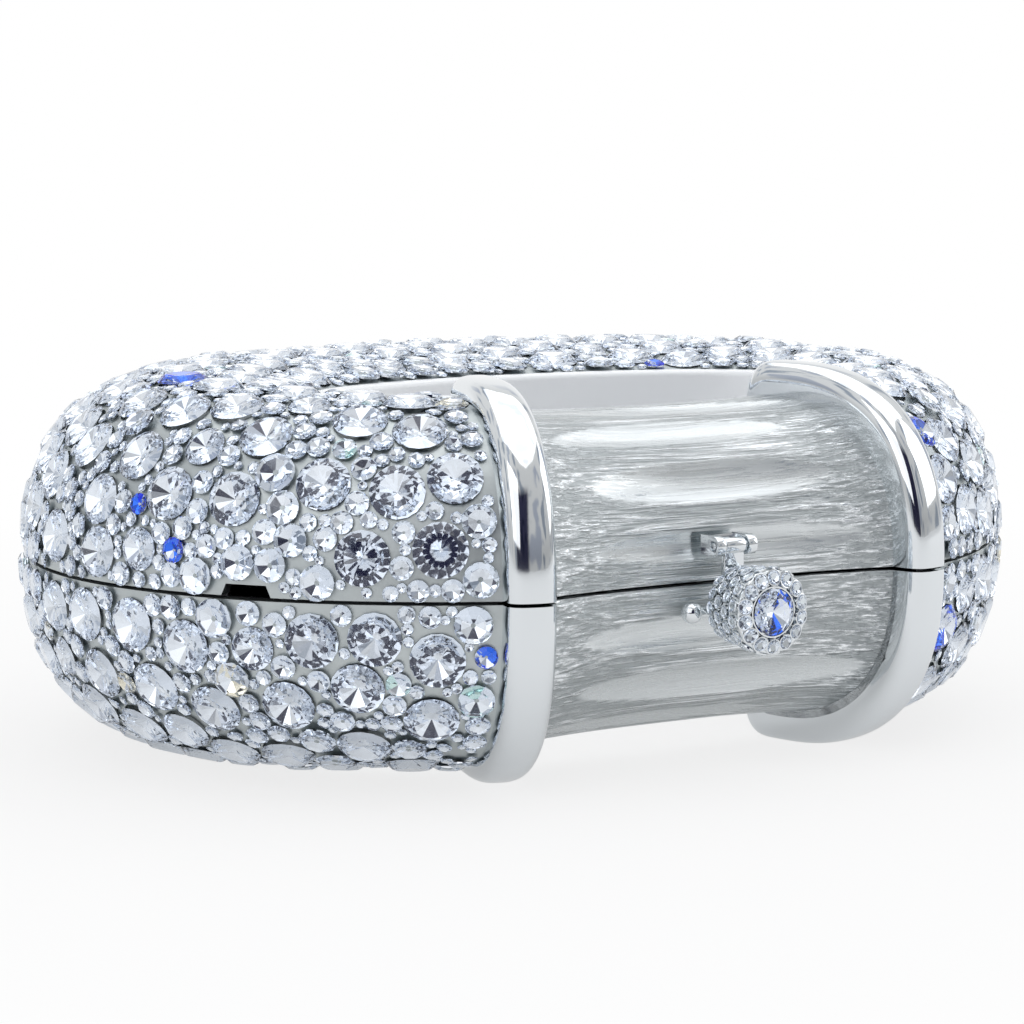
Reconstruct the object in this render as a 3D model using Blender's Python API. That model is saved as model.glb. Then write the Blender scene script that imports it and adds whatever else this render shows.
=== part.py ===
"""A crystal evening clutch: a hard oval ring of a case that opens like a clam.

The case lies flat. A hand hole goes down through it, and the bar in front of the hole is the handle, cast
like a length of bamboo between two beaded collars. The rest of the case is covered with crystals. The upper
half turns on a barrel hinge at the rear. A drum-shaped knob hangs over the parting line on a small pivot and
holds the two halves together at the front.

Frame: +Z up, the handle along X at the front (-Y), the hinge at the rear (+Y). The origin is under the
middle of the whole part, on the surface that it lies on. All sizes are in metres. The pieces are worked out
around the handle's axis, with the parting plane at zero height. The whole part is then moved to its frame.
"""
import math
import random
from collections import namedtuple

import bmesh
import bpy
from mathutils import Matrix, Vector
from mathutils.geometry import delaunay_2d_cdt

# Gaps between pieces that touch on the real part
PARTING_GAP = 0.0005
SEAT_GAP = 0.0003
OVERRUN = 0.0020

# Crystals on the case
STONE_RADIUS = 0.0037
STONE_HEIGHT = 0.0023
STONE_TABLE_SHARE = 0.58
STONE_PITCH = 0.0072
SETTING_THICKNESS = 0.0008
STONE_MARGIN = 0.0001
STONE_TRIES = 9000
REST_STONE_PITCH = 0.0145
REST_STONE_STEPS = (-2, -1, 0, 1, 2)

# Collars: a half-round bead that follows a D-shaped curve, on a web that closes the case's end
COLLAR_HALF_SPAN = 0.0320
COLLAR_SPLAY = math.radians(14.7)
COLLAR_FRONT_REACH = 0.0224
COLLAR_REAR_REACH = 0.0048
COLLAR_HALF_HEIGHT = 0.0244
BEAD_RADIUS = 0.0036
COLLAR_RIM = 0.0030
COLLAR_WEB = 0.0015
FRONT_FULLNESS = 2.4
REAR_FULLNESS = 5.0
COLLAR_SEGMENTS = 16
BEAD_STEPS = 6

# Case: the oval outline is measured at the parting plane, on the metal, from the handle's axis
CASE_HALF_WIDTH = 0.0742
CASE_HALF_DEPTH = 0.0620
CASE_FRONT_REACH = 0.0283
CASE_CENTRE_Y = CASE_HALF_DEPTH - CASE_FRONT_REACH
CASE_COLLAR_STEP = 0.0009
CASE_WALL = 0.0012
CASE_FULLNESS = 2.4
LEVEL_SHARE = 0.25
CREST_REAR_SHARE = 0.43
CREST_FRONT_SHARE = 0.28
CREST_ALONG_SHARE = 0.30
RIM_DROP_REAR_SHARE = 0.11
RIM_DROP_FRONT_SHARE = 0.05
HOLE_HALF_WIDTH = 0.0406
HOLE_HALF_DEPTH = 0.0185
HOLE_CENTRE_Y = 0.0202
HOLE_WALL = 0.0012
HOLE_WALL_ROUND = 0.0005
STATION_PITCH = 0.0058
SLOPE_SEGMENTS = 2
ROUND_SEGMENTS = 5

# Handle: a hollow bamboo bar with long carved flats and a slight waist
HANDLE_WAIST = 0.0025
HANDLE_COLLAR_STEP = 0.0012
HANDLE_HEIGHT_WAIST = 0.0006
HANDLE_WALL = 0.0015
WAIST_POWER = 3
CARVE_DEPTH = 0.0005
CARVE_LENGTH_SHARE = 0.72
CARVE_STAGGER_SHARE = 0.16
HANDLE_SEGMENTS = 18
HANDLE_INSIDE_SEGMENTS = 10
HANDLE_STATIONS = 10

# Lining, and the lip inside the lower half that the upper half closes over
LINING_THICKNESS = 0.0008
LINING_EDGE = 0.0046
LIP_THICKNESS = 0.0007
LIP_ABOVE = 0.0018
LIP_BELOW = 0.0024

# Chain slot in the upper half's edge, on the left, and the eye inside that a chain clips to
SLOT_PLACE_SHARE = 0.814
SLOT_WIDTH = 0.0073
SLOT_HEIGHT = 0.0016
SLOT_TAPER = 0.0007
EYE_WIDTH = 0.0056
EYE_REACH = 0.0052
EYE_THICKNESS = 0.0012
EYE_HOLE_RADIUS = 0.0013
EYE_ROUND_STEPS = 6

# Hinge at the rear
HINGE_LENGTH = 0.0260
HINGE_PIN_RADIUS = 0.0007
HINGE_PIN_GAP = 0.0002
KNUCKLE_RADIUS = 0.0017
KNUCKLE_GAP = 0.0004
LEAF_THICKNESS = 0.0008
LEAF_HEIGHT = 0.0062
LID_KNUCKLE_SHARE = 0.36

# Clasp at the front: lugs and pin on the upper handle, catch bar on the lower one, arm and drum between
CLASP_PIVOT_HEIGHT = 0.0054
CLASP_PIN_RADIUS = 0.0005
CLASP_PIN_GAP = 0.0002
CLASP_SLEEVE_RADIUS = 0.0011
CLASP_SLEEVE_LENGTH = 0.0032
LUG_WIDTH = 0.0013
LUG_RADIUS = 0.0014
LUG_PLATE_THICKNESS = 0.0008
LUG_PLATE_HEIGHT = 0.0026
LUG_ROUND_STEPS = 6
ARM_THICKNESS = 0.0009
ARM_HUB_RADIUS = 0.0038
CATCH_BAR_RADIUS = 0.0008
CATCH_BALL_RADIUS = 0.0015
CATCH_BALL_SPAN = 0.0112
CATCH_DROP = 0.0037
CATCH_BALL_STEPS = 4
DRUM_DROP = 0.0025
DRUM_LENGTH = 0.0080
DRUM_FRONT_RADIUS = 0.0051
DRUM_BACK_RADIUS = 0.0041
DRUM_NECK_RADIUS = 0.0022
DRUM_NECK_LENGTH = 0.0005
DRUM_BEZEL_RADIUS = 0.0031
DRUM_BEZEL_HEIGHT = 0.0005
DRUM_SIDES = 16
DRUM_ROWS = 4
RING_STONES = 14
CENTRE_STONE_RADIUS = 0.0025
CENTRE_STONE_HEIGHT = 0.0012
SMALL_SETTING_THICKNESS = 0.0003
SMALL_STONE_HEIGHT = 0.0006

# Angles, steps and heights that follow from the sizes above
FULL_TURN = 2 * math.pi
HALF_TURN = math.pi
QUARTER_TURN = math.pi / 2
HALF_GAP = PARTING_GAP / 2
SMALL_STEP_SHARE = 0.001
SEARCH_STEPS = 40
ROLL_STEPS = 12
STATIONS = 2 * round(CASE_HALF_WIDTH / STATION_PITCH)
REST_HEIGHT = COLLAR_HALF_HEIGHT + BEAD_RADIUS
CASE_REAR_HALF_HEIGHT = REST_HEIGHT - SEAT_GAP - STONE_HEIGHT
CASE_FRONT_HALF_HEIGHT = COLLAR_HALF_HEIGHT - CASE_COLLAR_STEP
HANDLE_HALF_HEIGHT = COLLAR_HALF_HEIGHT - HANDLE_COLLAR_STEP

Body = namedtuple("Body", "empty origin")


# Materials
def material(name, colour, metallic, roughness, clear=0.0):
    finish = bpy.data.materials.new(name)
    finish.use_nodes = True
    shader = finish.node_tree.nodes["Principled BSDF"]
    shader.inputs["Base Color"].default_value = (*colour, 1.0)
    shader.inputs["Metallic"].default_value = metallic
    shader.inputs["Roughness"].default_value = roughness
    shader.inputs["Transmission Weight"].default_value = clear
    finish.diffuse_color = (*colour, 1.0)
    return finish


def cast_silver():
    return material("cast_silver", (0.78, 0.78, 0.79), 1.0, 0.28)


def brushed_silver():
    return material("brushed_silver", (0.80, 0.81, 0.82), 1.0, 0.34)


def polished_silver():
    return material("polished_silver", (0.86, 0.86, 0.89), 1.0, 0.08)


def clear_crystal():
    return material("clear_crystal", (0.94, 0.96, 0.98), 0.0, 0.02, 1.0)


def grey_satin():
    return material("grey_satin", (0.52, 0.52, 0.55), 0.0, 0.70)


# Plan: where the oval case, the hand hole and the collars' planes meet
def collar_axes(side):
    """A collar's foot at the front, its direction to the rear, and its direction away from the handle."""
    foot = Vector((side * COLLAR_HALF_SPAN, -COLLAR_FRONT_REACH, 0))
    rearward = Vector((-side * math.sin(COLLAR_SPLAY), math.cos(COLLAR_SPLAY), 0))
    outward = Vector((side * math.cos(COLLAR_SPLAY), math.sin(COLLAR_SPLAY), 0))
    return foot, rearward, outward


def meets_oval(start, direction, centre_y, half_width, half_depth):
    """The oval's angle where a line first meets it, coming from the front."""
    from_x, from_y = start.x / half_width, (start.y - centre_y) / half_depth
    step_x, step_y = direction.x / half_width, direction.y / half_depth
    square = step_x * step_x + step_y * step_y
    middle = from_x * step_x + from_y * step_y
    rest = from_x * from_x + from_y * from_y - 1
    travel = (-middle - math.sqrt(middle * middle - square * rest)) / square
    return math.atan2(from_y + travel * step_y, from_x + travel * step_x)


def case_end_angles():
    """The case's right end: a plane just clear of the collar's bead meets the outline and the hole."""
    foot, rearward, outward = collar_axes(1)
    start = foot + outward * (BEAD_RADIUS + SEAT_GAP)
    outer = meets_oval(start, rearward, CASE_CENTRE_Y, CASE_HALF_WIDTH, CASE_HALF_DEPTH)
    inner = meets_oval(start, rearward, HOLE_CENTRE_Y, HOLE_HALF_WIDTH, HOLE_HALF_DEPTH)
    return outer, inner


OUTER_END, INNER_END = case_end_angles()


def plan_points(place):
    """The case's inner and outer edge at a place from -1, the right collar, to 1, the left one."""
    outer = QUARTER_TURN + place * (QUARTER_TURN - OUTER_END)
    inner = QUARTER_TURN + place * (QUARTER_TURN - INNER_END)
    edge = Vector((CASE_HALF_WIDTH * math.cos(outer), CASE_CENTRE_Y + CASE_HALF_DEPTH * math.sin(outer), 0))
    hole = Vector((HOLE_HALF_WIDTH * math.cos(inner), HOLE_CENTRE_Y + HOLE_HALF_DEPTH * math.sin(inner), 0))
    return hole, edge


def places():
    return [2 * index / STATIONS - 1 for index in range(STATIONS + 1)]


# Section: a shallow slope from the hole's rim up to the crest, then a full curve down to the parting
def smooth(share):
    share = min(max(share, 0.0), 1.0)
    return share * share * (3 - 2 * share)


def case_shape(place):
    """Half height, crest and rim drop of the case's section at a place."""
    forward = smooth((abs(place) - LEVEL_SHARE) / (1 - LEVEL_SHARE))
    height = CASE_REAR_HALF_HEIGHT + forward * (CASE_FRONT_HALF_HEIGHT - CASE_REAR_HALF_HEIGHT)
    crest = CREST_REAR_SHARE + forward * (CREST_FRONT_SHARE - CREST_REAR_SHARE)
    drop = RIM_DROP_REAR_SHARE + forward * (RIM_DROP_FRONT_SHARE - RIM_DROP_REAR_SHARE)
    return height, crest, drop


def section_width(place):
    hole, edge = plan_points(place)
    return (edge - hole).length


def slope_height(place, across):
    """Height of the case's skin between the hole and the crest, at a distance from the hole."""
    height, crest, drop = case_shape(place)
    inward = 1 - across / (crest * section_width(place))
    return height * (1 - drop * inward * inward)


def foot_across(place):
    """Distance from the hole to the case's outer wall, at its foot beside the parting."""
    height, crest, drop = case_shape(place)
    full = (1 - (HALF_GAP / height) ** CASE_FULLNESS) ** (1 / CASE_FULLNESS)
    return section_width(place) * (crest + (1 - crest) * full)


def section_point(place, along):
    """Across and up in the case's section, for a share from the hole's rim over the crest to the parting."""
    height, crest, drop = case_shape(place)
    width = section_width(place)
    if along < CREST_ALONG_SHARE:
        across = crest * width * along / CREST_ALONG_SHARE
        return across, slope_height(place, across)
    turn = QUARTER_TURN * (1 - along) / (1 - CREST_ALONG_SHARE)
    across = crest * width + (1 - crest) * width * abs(math.cos(turn)) ** (2 / CASE_FULLNESS)
    return across, height * abs(math.sin(turn)) ** (2 / CASE_FULLNESS)


def skin_point(place, along):
    across, up = section_point(place, along)
    hole, edge = plan_points(place)
    point = hole + (edge - hole).normalized() * across
    point.z = up
    return point


def skin_normal(place, along):
    ahead = skin_point(place + SMALL_STEP_SHARE, along) - skin_point(place - SMALL_STEP_SHARE, along)
    low = max(along - SMALL_STEP_SHARE, 0.0)
    high = min(along + SMALL_STEP_SHARE, 1.0)
    down = skin_point(place, high) - skin_point(place, low)
    return down.cross(ahead).normalized()


def case_line(place, start, slope_parts, round_parts):
    """The case's outer line, from a distance off the hole over the crest and down to its foot."""
    height, crest, drop = case_shape(place)
    width = section_width(place)
    line = []
    for part in range(slope_parts):
        across = start + (crest * width - start) * part / slope_parts
        line.append((across, slope_height(place, across)))
    for part in range(round_parts):
        along = CREST_ALONG_SHARE + (1 - CREST_ALONG_SHARE) * part / round_parts
        line.append(section_point(place, along))
    line.append((foot_across(place), HALF_GAP))
    return line


def stop_at(line, level):
    """The same line with its last stretch ended at a level over the foot."""
    above, foot = line[-2:]
    share = (level - foot[1]) / (above[1] - foot[1])
    return line[:-1] + [(foot[0] + (above[0] - foot[0]) * share, level)]


def wall_lean(place):
    """How far the case's outer wall leans in for each step up, just above its foot."""
    above, foot = case_line(place, HOLE_WALL + SEAT_GAP, SLOPE_SEGMENTS, ROUND_SEGMENTS)[-2:]
    return (foot[0] - above[0]) / (above[1] - foot[1])


def inset(line, depth):
    """A section's outer line moved in by a depth; its first point moves down and its last one in."""
    moved = []
    for index, (across, up) in enumerate(line):
        before = line[max(index - 1, 0)]
        after = line[min(index + 1, len(line) - 1)]
        run, fall = after[0] - before[0], before[1] - after[1]
        if index == 0:
            run, fall = 1.0, 0.0
        if index == len(line) - 1:
            run, fall = 0.0, 1.0
        size = math.hypot(run, fall)
        moved.append((across - fall / size * depth, up - run / size * depth))
    return moved


def in_plan(place, line, half):
    """A section's points, across and up, as points of the case; half is 1 above and -1 below."""
    hole, edge = plan_points(place)
    outward = (edge - hole).normalized()
    return [hole + outward * across + Vector((0, 0, half * up)) for across, up in line]


# Shared modelling steps
def new_object(name, bm, finish, body, smooth_angle=math.radians(35)):
    """A sub-part whose mesh is measured from its body's own origin."""
    bmesh.ops.translate(bm, verts=bm.verts, vec=-body.origin)
    mesh = bpy.data.meshes.new(name)
    bm.to_mesh(mesh)
    bm.free()
    mesh.materials.append(finish)
    mesh.shade_smooth()
    mesh.set_sharp_from_angle(angle=smooth_angle)
    thing = bpy.data.objects.new(name, mesh)
    bpy.context.scene.collection.objects.link(thing)
    thing.parent = body.empty
    return thing


def new_body(name, origin, carrier=None):
    """An empty on a body's own origin, such as its joint's axis, that carries the body's pieces."""
    empty = bpy.data.objects.new(name, None)
    bpy.context.scene.collection.objects.link(empty)
    if carrier:
        empty.parent = carrier.empty
        empty.location = origin - carrier.origin
    return Body(empty, origin)


def closed_loop(bm, points):
    verts = [bm.verts.new(point) for point in points]
    return [bm.edges.new((verts[index - 1], vert)) for index, vert in enumerate(verts)]


def loft(rings):
    """One closed body through a row of rings, capped at both ends."""
    bm = bmesh.new()
    loops = [closed_loop(bm, ring) for ring in rings]
    for first, second in zip(loops, loops[1:]):
        bmesh.ops.bridge_loops(bm, edges=first + second)
    bmesh.ops.contextual_create(bm, geom=loops[0])
    bmesh.ops.contextual_create(bm, geom=loops[-1])
    bmesh.ops.recalc_face_normals(bm, faces=bm.faces)
    return bm


def block(low, high):
    """A box between two corners."""
    middle = (low + high) / 2
    bm = bmesh.new()
    stretch = Matrix.Diagonal((*(high - low), 1))
    bmesh.ops.create_cube(bm, size=1, matrix=Matrix.Translation(middle) @ stretch)
    return bm


def turned(points, centre, axis, sides):
    """A closed body turned about an axis: its profile starts and ends on the axis."""
    bm = bmesh.new()
    verts = [bm.verts.new(point) for point in points]
    edges = [bm.edges.new(pair) for pair in zip(verts, verts[1:])]
    bmesh.ops.spin(bm, geom=verts + edges, cent=centre, axis=axis, angle=FULL_TURN, steps=sides,
                   use_merge=True)
    least = min((second - first).length for first, second in zip(points, points[1:]))
    bmesh.ops.remove_doubles(bm, verts=bm.verts, dist=least * SMALL_STEP_SHARE)
    bmesh.ops.recalc_face_normals(bm, faces=bm.faces)
    return bm


def rod(centre, facing, radius, length, sides=12):
    """A round rod along X, Y or Z."""
    turn = {"X": Matrix.Rotation(QUARTER_TURN, 4, "Y"), "Y": Matrix.Rotation(QUARTER_TURN, 4, "X"),
            "Z": Matrix.Identity(4)}[facing]
    bm = bmesh.new()
    bmesh.ops.create_cone(bm, cap_ends=True, segments=sides, radius1=radius, radius2=radius, depth=length,
                          matrix=Matrix.Translation(centre) @ turn)
    return bm


def cut(thing, name, bm, finish, body, operation="DIFFERENCE"):
    """Takes a shape out of a sub-part, or joins one to it."""
    tool = new_object(name, bm, finish, body)
    tool.hide_render = True
    tool.display_type = "WIRE"
    step = thing.modifiers.new(name, "BOOLEAN")
    step.object = tool
    step.operation = operation
    step.solver = "EXACT"


def add_stone(bm, seat, normal, radius, low, high, sides=6):
    """A crystal as a flat-based frustum between two heights over its seat."""
    facing = normal.to_track_quat("Z", "Y").to_matrix().to_4x4()
    place = Matrix.Translation(seat + normal * (low + high) / 2) @ facing
    bmesh.ops.create_cone(bm, cap_ends=True, segments=sides, radius1=radius,
                          radius2=radius * STONE_TABLE_SHARE, depth=high - low, matrix=place)


def crystal_band(rows, count, corner, peak, seat):
    """A closed band of small pointed crystals, set edge to edge in rows round an axis."""
    bm = bmesh.new()
    front = [[bm.verts.new(corner(row, index)) for index in range(count)] for row in range(rows + 1)]
    back = [[bm.verts.new(seat(end, index)) for index in range(count)] for end in (0, rows)]
    for index in range(count):
        left = index - 1
        for row in range(rows):
            tip = bm.verts.new(peak(row, left + 0.5))
            cell = (front[row][left], front[row][index], front[row + 1][index], front[row + 1][left])
            for start, end in zip(cell, cell[1:] + cell[:1]):
                bm.faces.new((start, end, tip))
        bm.faces.new((back[0][left], back[0][index], front[0][index], front[0][left]))
        bm.faces.new((front[rows][left], front[rows][index], back[1][index], back[1][left]))
        bm.faces.new((back[1][left], back[1][index], back[0][index], back[0][left]))
    bmesh.ops.recalc_face_normals(bm, faces=bm.faces)
    return bm


# Case halves, hole walls, linings and lip
def case_half(name, half, finish, body):
    rings = []
    for place in places():
        outer = case_line(place, HOLE_WALL + SEAT_GAP, SLOPE_SEGMENTS, ROUND_SEGMENTS)
        inner = inset(outer, CASE_WALL)
        rings.append(in_plan(place, outer + inner[::-1], half))
    return new_object(name, loft(rings), finish, body)


def hole_wall(name, half, finish, body):
    """The smooth band that lines the hand hole, rounded over at its far edge."""
    rings = []
    for place in places():
        top = slope_height(place, HOLE_WALL)
        line = [(0, HALF_GAP), (0, top - HOLE_WALL_ROUND), (HOLE_WALL_ROUND, top), (HOLE_WALL, top),
                (HOLE_WALL, HALF_GAP)]
        rings.append(in_plan(place, line, half))
    return new_object(name, loft(rings), finish, body)


def lining(name, half, finish, body):
    """A thin satin trough inside one half: up the hole's wall, under the cover and down its outer wall."""
    rings = []
    backing = CASE_WALL + SEAT_GAP
    for place in places():
        skin = stop_at(case_line(place, HOLE_WALL + SEAT_GAP, 1, ROUND_SEGMENTS), LINING_EDGE)
        near = inset(skin, backing)
        far = inset(skin, backing + LINING_THICKNESS)
        far[0] = (far[0][0] + LINING_THICKNESS, far[0][1])
        line = [(near[0][0], LINING_EDGE)] + near + far[::-1] + [(far[0][0], LINING_EDGE)]
        rings.append(in_plan(place, line, half))
    return new_object(name, loft(rings), finish, body)


def locating_lip(name, finish, body):
    rings = []
    for place in places():
        outer = section_width(place) - CASE_WALL - SEAT_GAP
        inner = outer - LIP_THICKNESS
        line = [(outer, LIP_ABOVE), (inner, LIP_ABOVE), (inner, -LIP_BELOW), (outer, -LIP_BELOW)]
        rings.append(in_plan(place, line, 1))
    lip = new_object(name, loft(rings), finish, body)
    cut(lip, "lip_cutter", slot_shape(SLOT_WIDTH / 2 + SEAT_GAP, 0.0, HALF_GAP, LIP_ABOVE + OVERRUN),
        finish, body)
    return lip


# Handle
def d_line(front, rear, height, segments, cuts=None):
    """Half of a D-shaped outline, from its front edge over the top to its rear edge."""
    line = []
    for index in range(segments + 1):
        turn = HALF_TURN * index / segments
        deep = cuts[index] if cuts else 0.0
        reach, power = (front, FRONT_FULLNESS) if turn < QUARTER_TURN else (rear, REAR_FULLNESS)
        across = math.copysign(abs(math.cos(turn)) ** (2 / power), -math.cos(turn)) * (reach - deep)
        up = abs(math.sin(turn)) ** (2 / power) * (height - deep)
        line.append((across, max(up, HALF_GAP)))
    return line


def carved_cuts(share):
    """How deep each edge of the handle's section is carved: every second one runs down a flat's middle."""
    cuts = []
    for index in range(HANDLE_SEGMENTS + 1):
        middle = CARVE_STAGGER_SHARE if index % 4 == 1 else -CARVE_STAGGER_SHARE
        flat = max(0.0, 1 - ((share - middle) / CARVE_LENGTH_SHARE) ** 2)
        cuts.append(CARVE_DEPTH * flat if index % 2 else 0.0)
    return cuts


def handle_end(across):
    """How far along X the handle reaches, at a place from front to rear, to sit against its collar."""
    plane = COLLAR_HALF_SPAN - math.tan(COLLAR_SPLAY) * (across + COLLAR_FRONT_REACH)
    return plane - (BEAD_RADIUS + SEAT_GAP) / math.cos(COLLAR_SPLAY)


def handle_half(name, half, finish, body):
    rings = []
    for index in range(HANDLE_STATIONS + 1):
        share = 2 * index / HANDLE_STATIONS - 1
        waist = 1 - abs(share) ** WAIST_POWER
        front = COLLAR_FRONT_REACH - HANDLE_WAIST * waist
        height = HANDLE_HALF_HEIGHT - HANDLE_HEIGHT_WAIST * waist
        outer = d_line(front, COLLAR_REAR_REACH, height, HANDLE_SEGMENTS, carved_cuts(share))
        inner = d_line(front - HANDLE_WALL, COLLAR_REAR_REACH - HANDLE_WALL, height - HANDLE_WALL,
                       HANDLE_INSIDE_SEGMENTS)
        rings.append([Vector((share * handle_end(y), y, half * z)) for y, z in outer + inner[::-1]])
    return new_object(name, loft(rings), finish, body, math.radians(12))


# Collars
def collar_ring(side, half, aside, out, lift):
    """A D-shaped ring of the collar: aside is along its axis, out is how far it stands off the curve."""
    foot, rearward, outward = collar_axes(side)
    centre = foot + rearward * COLLAR_FRONT_REACH + outward * aside
    height = COLLAR_HALF_HEIGHT + out
    line = d_line(COLLAR_FRONT_REACH + out, COLLAR_REAR_REACH + out, height, COLLAR_SEGMENTS)
    return [centre + rearward * across + Vector((0, 0, half * max(up, HALF_GAP + lift)))
            for across, up in line]


def collar_half(name, side, half, finish, body):
    """From one face of the web, out over the bead and back in to the web's other face."""
    rings = [collar_ring(side, half, -COLLAR_WEB / 2, -COLLAR_RIM, COLLAR_RIM),
             collar_ring(side, half, -BEAD_RADIUS, -COLLAR_RIM, COLLAR_RIM)]
    for step in range(BEAD_STEPS + 1):
        turn = HALF_TURN * step / BEAD_STEPS
        aside, out = -BEAD_RADIUS * math.cos(turn), BEAD_RADIUS * math.sin(turn)
        rings.append(collar_ring(side, half, aside, out, 0.0))
    rings.append(collar_ring(side, half, BEAD_RADIUS, -COLLAR_RIM, COLLAR_RIM))
    rings.append(collar_ring(side, half, COLLAR_WEB / 2, -COLLAR_RIM, COLLAR_RIM))
    return new_object(name, loft(rings), finish, body)


# Chain slot and eye
def slot_place():
    """The slot's middle, on the flat wall between two stations, the wall's direction and the way out."""
    position = (SLOT_PLACE_SHARE + 1) / 2 * STATIONS
    station = int(position)
    first = plan_points(places()[station])[1]
    second = plan_points(places()[station + 1])[1]
    along = (second - first).normalized()
    return first.lerp(second, position - station), along, Vector((along.y, -along.x, 0))


def slot_shape(half_width, taper, below, above):
    """A wedge through the case's outer wall and the lip: as wide as the slot below, and tapered above."""
    middle, along, outwards = slot_place()
    line = [(-half_width, -below), (half_width, -below), (half_width, HALF_GAP), (half_width - taper, above),
            (-half_width + taper, above), (-half_width, HALF_GAP)]
    depth = CASE_WALL + SEAT_GAP + LIP_THICKNESS + OVERRUN
    return loft([[middle + outwards * reach + along * aside + Vector((0, 0, up)) for aside, up in line]
                 for reach in (-depth, OVERRUN)])


def slot_opening():
    return slot_shape(SLOT_WIDTH / 2, SLOT_TAPER, OVERRUN, HALF_GAP + SLOT_HEIGHT)


def chain_eye(name, finish, body):
    """A flat tab with a round hole, level inside the lower half behind the slot."""
    middle, along, outwards = slot_place()
    seat = -(CASE_WALL + SEAT_GAP + wall_lean(SLOT_PLACE_SHARE) * LINING_EDGE)
    radius = EYE_WIDTH / 2
    centre = seat - EYE_REACH + radius
    outline = [(-radius, seat), (radius, seat)]
    for step in range(EYE_ROUND_STEPS + 1):
        turn = HALF_TURN * step / EYE_ROUND_STEPS
        outline.append((radius * math.cos(turn), centre - radius * math.sin(turn)))
    low = SEAT_GAP - LINING_EDGE
    rings = [[middle + along * aside + outwards * out + Vector((0, 0, level)) for aside, out in outline]
             for level in (low, low + EYE_THICKNESS)]
    eye = new_object(name, loft(rings), finish, body)
    hole = middle + outwards * centre + Vector((0, 0, low + EYE_THICKNESS / 2))
    cut(eye, "eye_cutter", rod(hole, "Z", EYE_HOLE_RADIUS, EYE_THICKNESS + OVERRUN), finish, body)
    return eye


# Crystals on the case
def crest_place(distance):
    """The place along the case whose crest lies at a distance from the middle plane."""
    low, high = 0.0, 0.5
    for _ in range(SEARCH_STEPS):
        middle = (low + high) / 2
        if abs(skin_point(middle, CREST_ALONG_SHARE).x) < distance:
            low = middle
        else:
            high = middle
    return low


def side_site():
    """The widest place of the case, and how far down its section a crystal sits that clears the parting."""
    place = QUARTER_TURN / (QUARTER_TURN - OUTER_END)
    wanted = HALF_GAP + STONE_RADIUS + STONE_MARGIN
    low, high = CREST_ALONG_SHARE, 1.0
    for _ in range(SEARCH_STEPS):
        middle = (low + high) / 2
        if section_point(place, middle)[1] > wanted:
            low = middle
        else:
            high = middle
    return place, low


def fixed_sites():
    """Crystals that set the part's reach: along the rear crest, and at the two sides."""
    sites = []
    for step in REST_STONE_STEPS:
        place = math.copysign(crest_place(abs(step) * REST_STONE_PITCH), step)
        sites.append((place, CREST_ALONG_SHARE))
    place, along = side_site()
    return sites + [(-place, along), (place, along)]


def clears_edges(site, point):
    """Clear of the hole's rim, the parting and the collars."""
    reach = STONE_PITCH / 2 + STONE_MARGIN
    if section_point(*site)[0] < HOLE_WALL + SEAT_GAP + reach or point.z < HALF_GAP + reach:
        return False
    foot, rearward, outward = collar_axes(math.copysign(1, point.x))
    return point.y > CASE_CENTRE_Y or (point - foot).dot(outward) > BEAD_RADIUS + SEAT_GAP + reach


def is_bare(point, half):
    """Over the chain slot or the hinge's leaves, where no crystal stands."""
    middle, along, outwards = slot_place()
    aside = abs((point - middle).dot(along))
    if point.y > CASE_CENTRE_Y:
        return abs(point.x) < HINGE_LENGTH / 2 + STONE_PITCH and point.z < LEAF_HEIGHT + STONE_PITCH
    over_slot = aside < SLOT_WIDTH / 2 + STONE_PITCH and point.z < SLOT_HEIGHT + STONE_PITCH
    return half > 0 and point.x < 0 and over_slot


def stone_sites(half, seed):
    """Places for the crystals, thrown at random and kept where they clear their neighbours."""
    chance = random.Random(seed)
    sites = fixed_sites()
    points = [skin_point(*site) for site in sites]
    for _ in range(STONE_TRIES):
        site = (chance.uniform(-1, 1), chance.uniform(0, 1))
        point = skin_point(*site)
        if clears_edges(site, point) and all((point - other).length > STONE_PITCH for other in points):
            sites.append(site)
            points.append(point)
    return sites


def stone_seat(site, half):
    """A crystal's seat on the case's skin, and the way it faces."""
    flip = Vector((1, 1, half))
    return skin_point(*site) * flip, (skin_normal(*site) * flip).normalized()


# Setting: its outer side is a net of triangles between the crystals' middles and the border
def setting_lines(place):
    """The setting's outer and inner line at a place."""
    skin = case_line(place, HOLE_WALL + SEAT_GAP, SLOPE_SEGMENTS, ROUND_SEGMENTS)
    return inset(skin, -SEAT_GAP - SETTING_THICKNESS), inset(skin, -SEAT_GAP)


def rolled_out(place, line):
    """The end of a line that runs out from the hole over the skin, when the skin is laid flat."""
    hole, edge = plan_points(place)
    length = sum(math.dist(first, second) for first, second in zip(line, line[1:]))
    return (hole + (edge - hole).normalized() * (line[0][0] + length)).to_2d()


def border_steps(last_place, last_part):
    """Round the border: along the hole's rim, down one end, back along the parting and up the other end."""
    rim = [(index, 0) for index in range(last_place + 1)]
    end = [(last_place, part) for part in range(1, last_part)]
    foot = [(index, last_part) for index in range(last_place, -1, -1)]
    start = [(0, part) for part in range(last_part - 1, 0, -1)]
    return rim + end + foot + start


def crystal_net(border, sites):
    """Triangles between the border's points and the sites, as indices: the border first, then the sites."""
    flat = [rolled_out(place, line) for place, line in border]
    for place, along in sites:
        line = [section_point(place, along * step / ROLL_STEPS) for step in range(ROLL_STEPS + 1)]
        flat.append(rolled_out(place, line))
    loop = list(range(len(border)))
    net = delaunay_2d_cdt(flat, [], [loop], 1, STONE_RADIUS * SMALL_STEP_SHARE)
    return [[net[3][vert][0] for vert in face] for face in net[2]]


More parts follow.
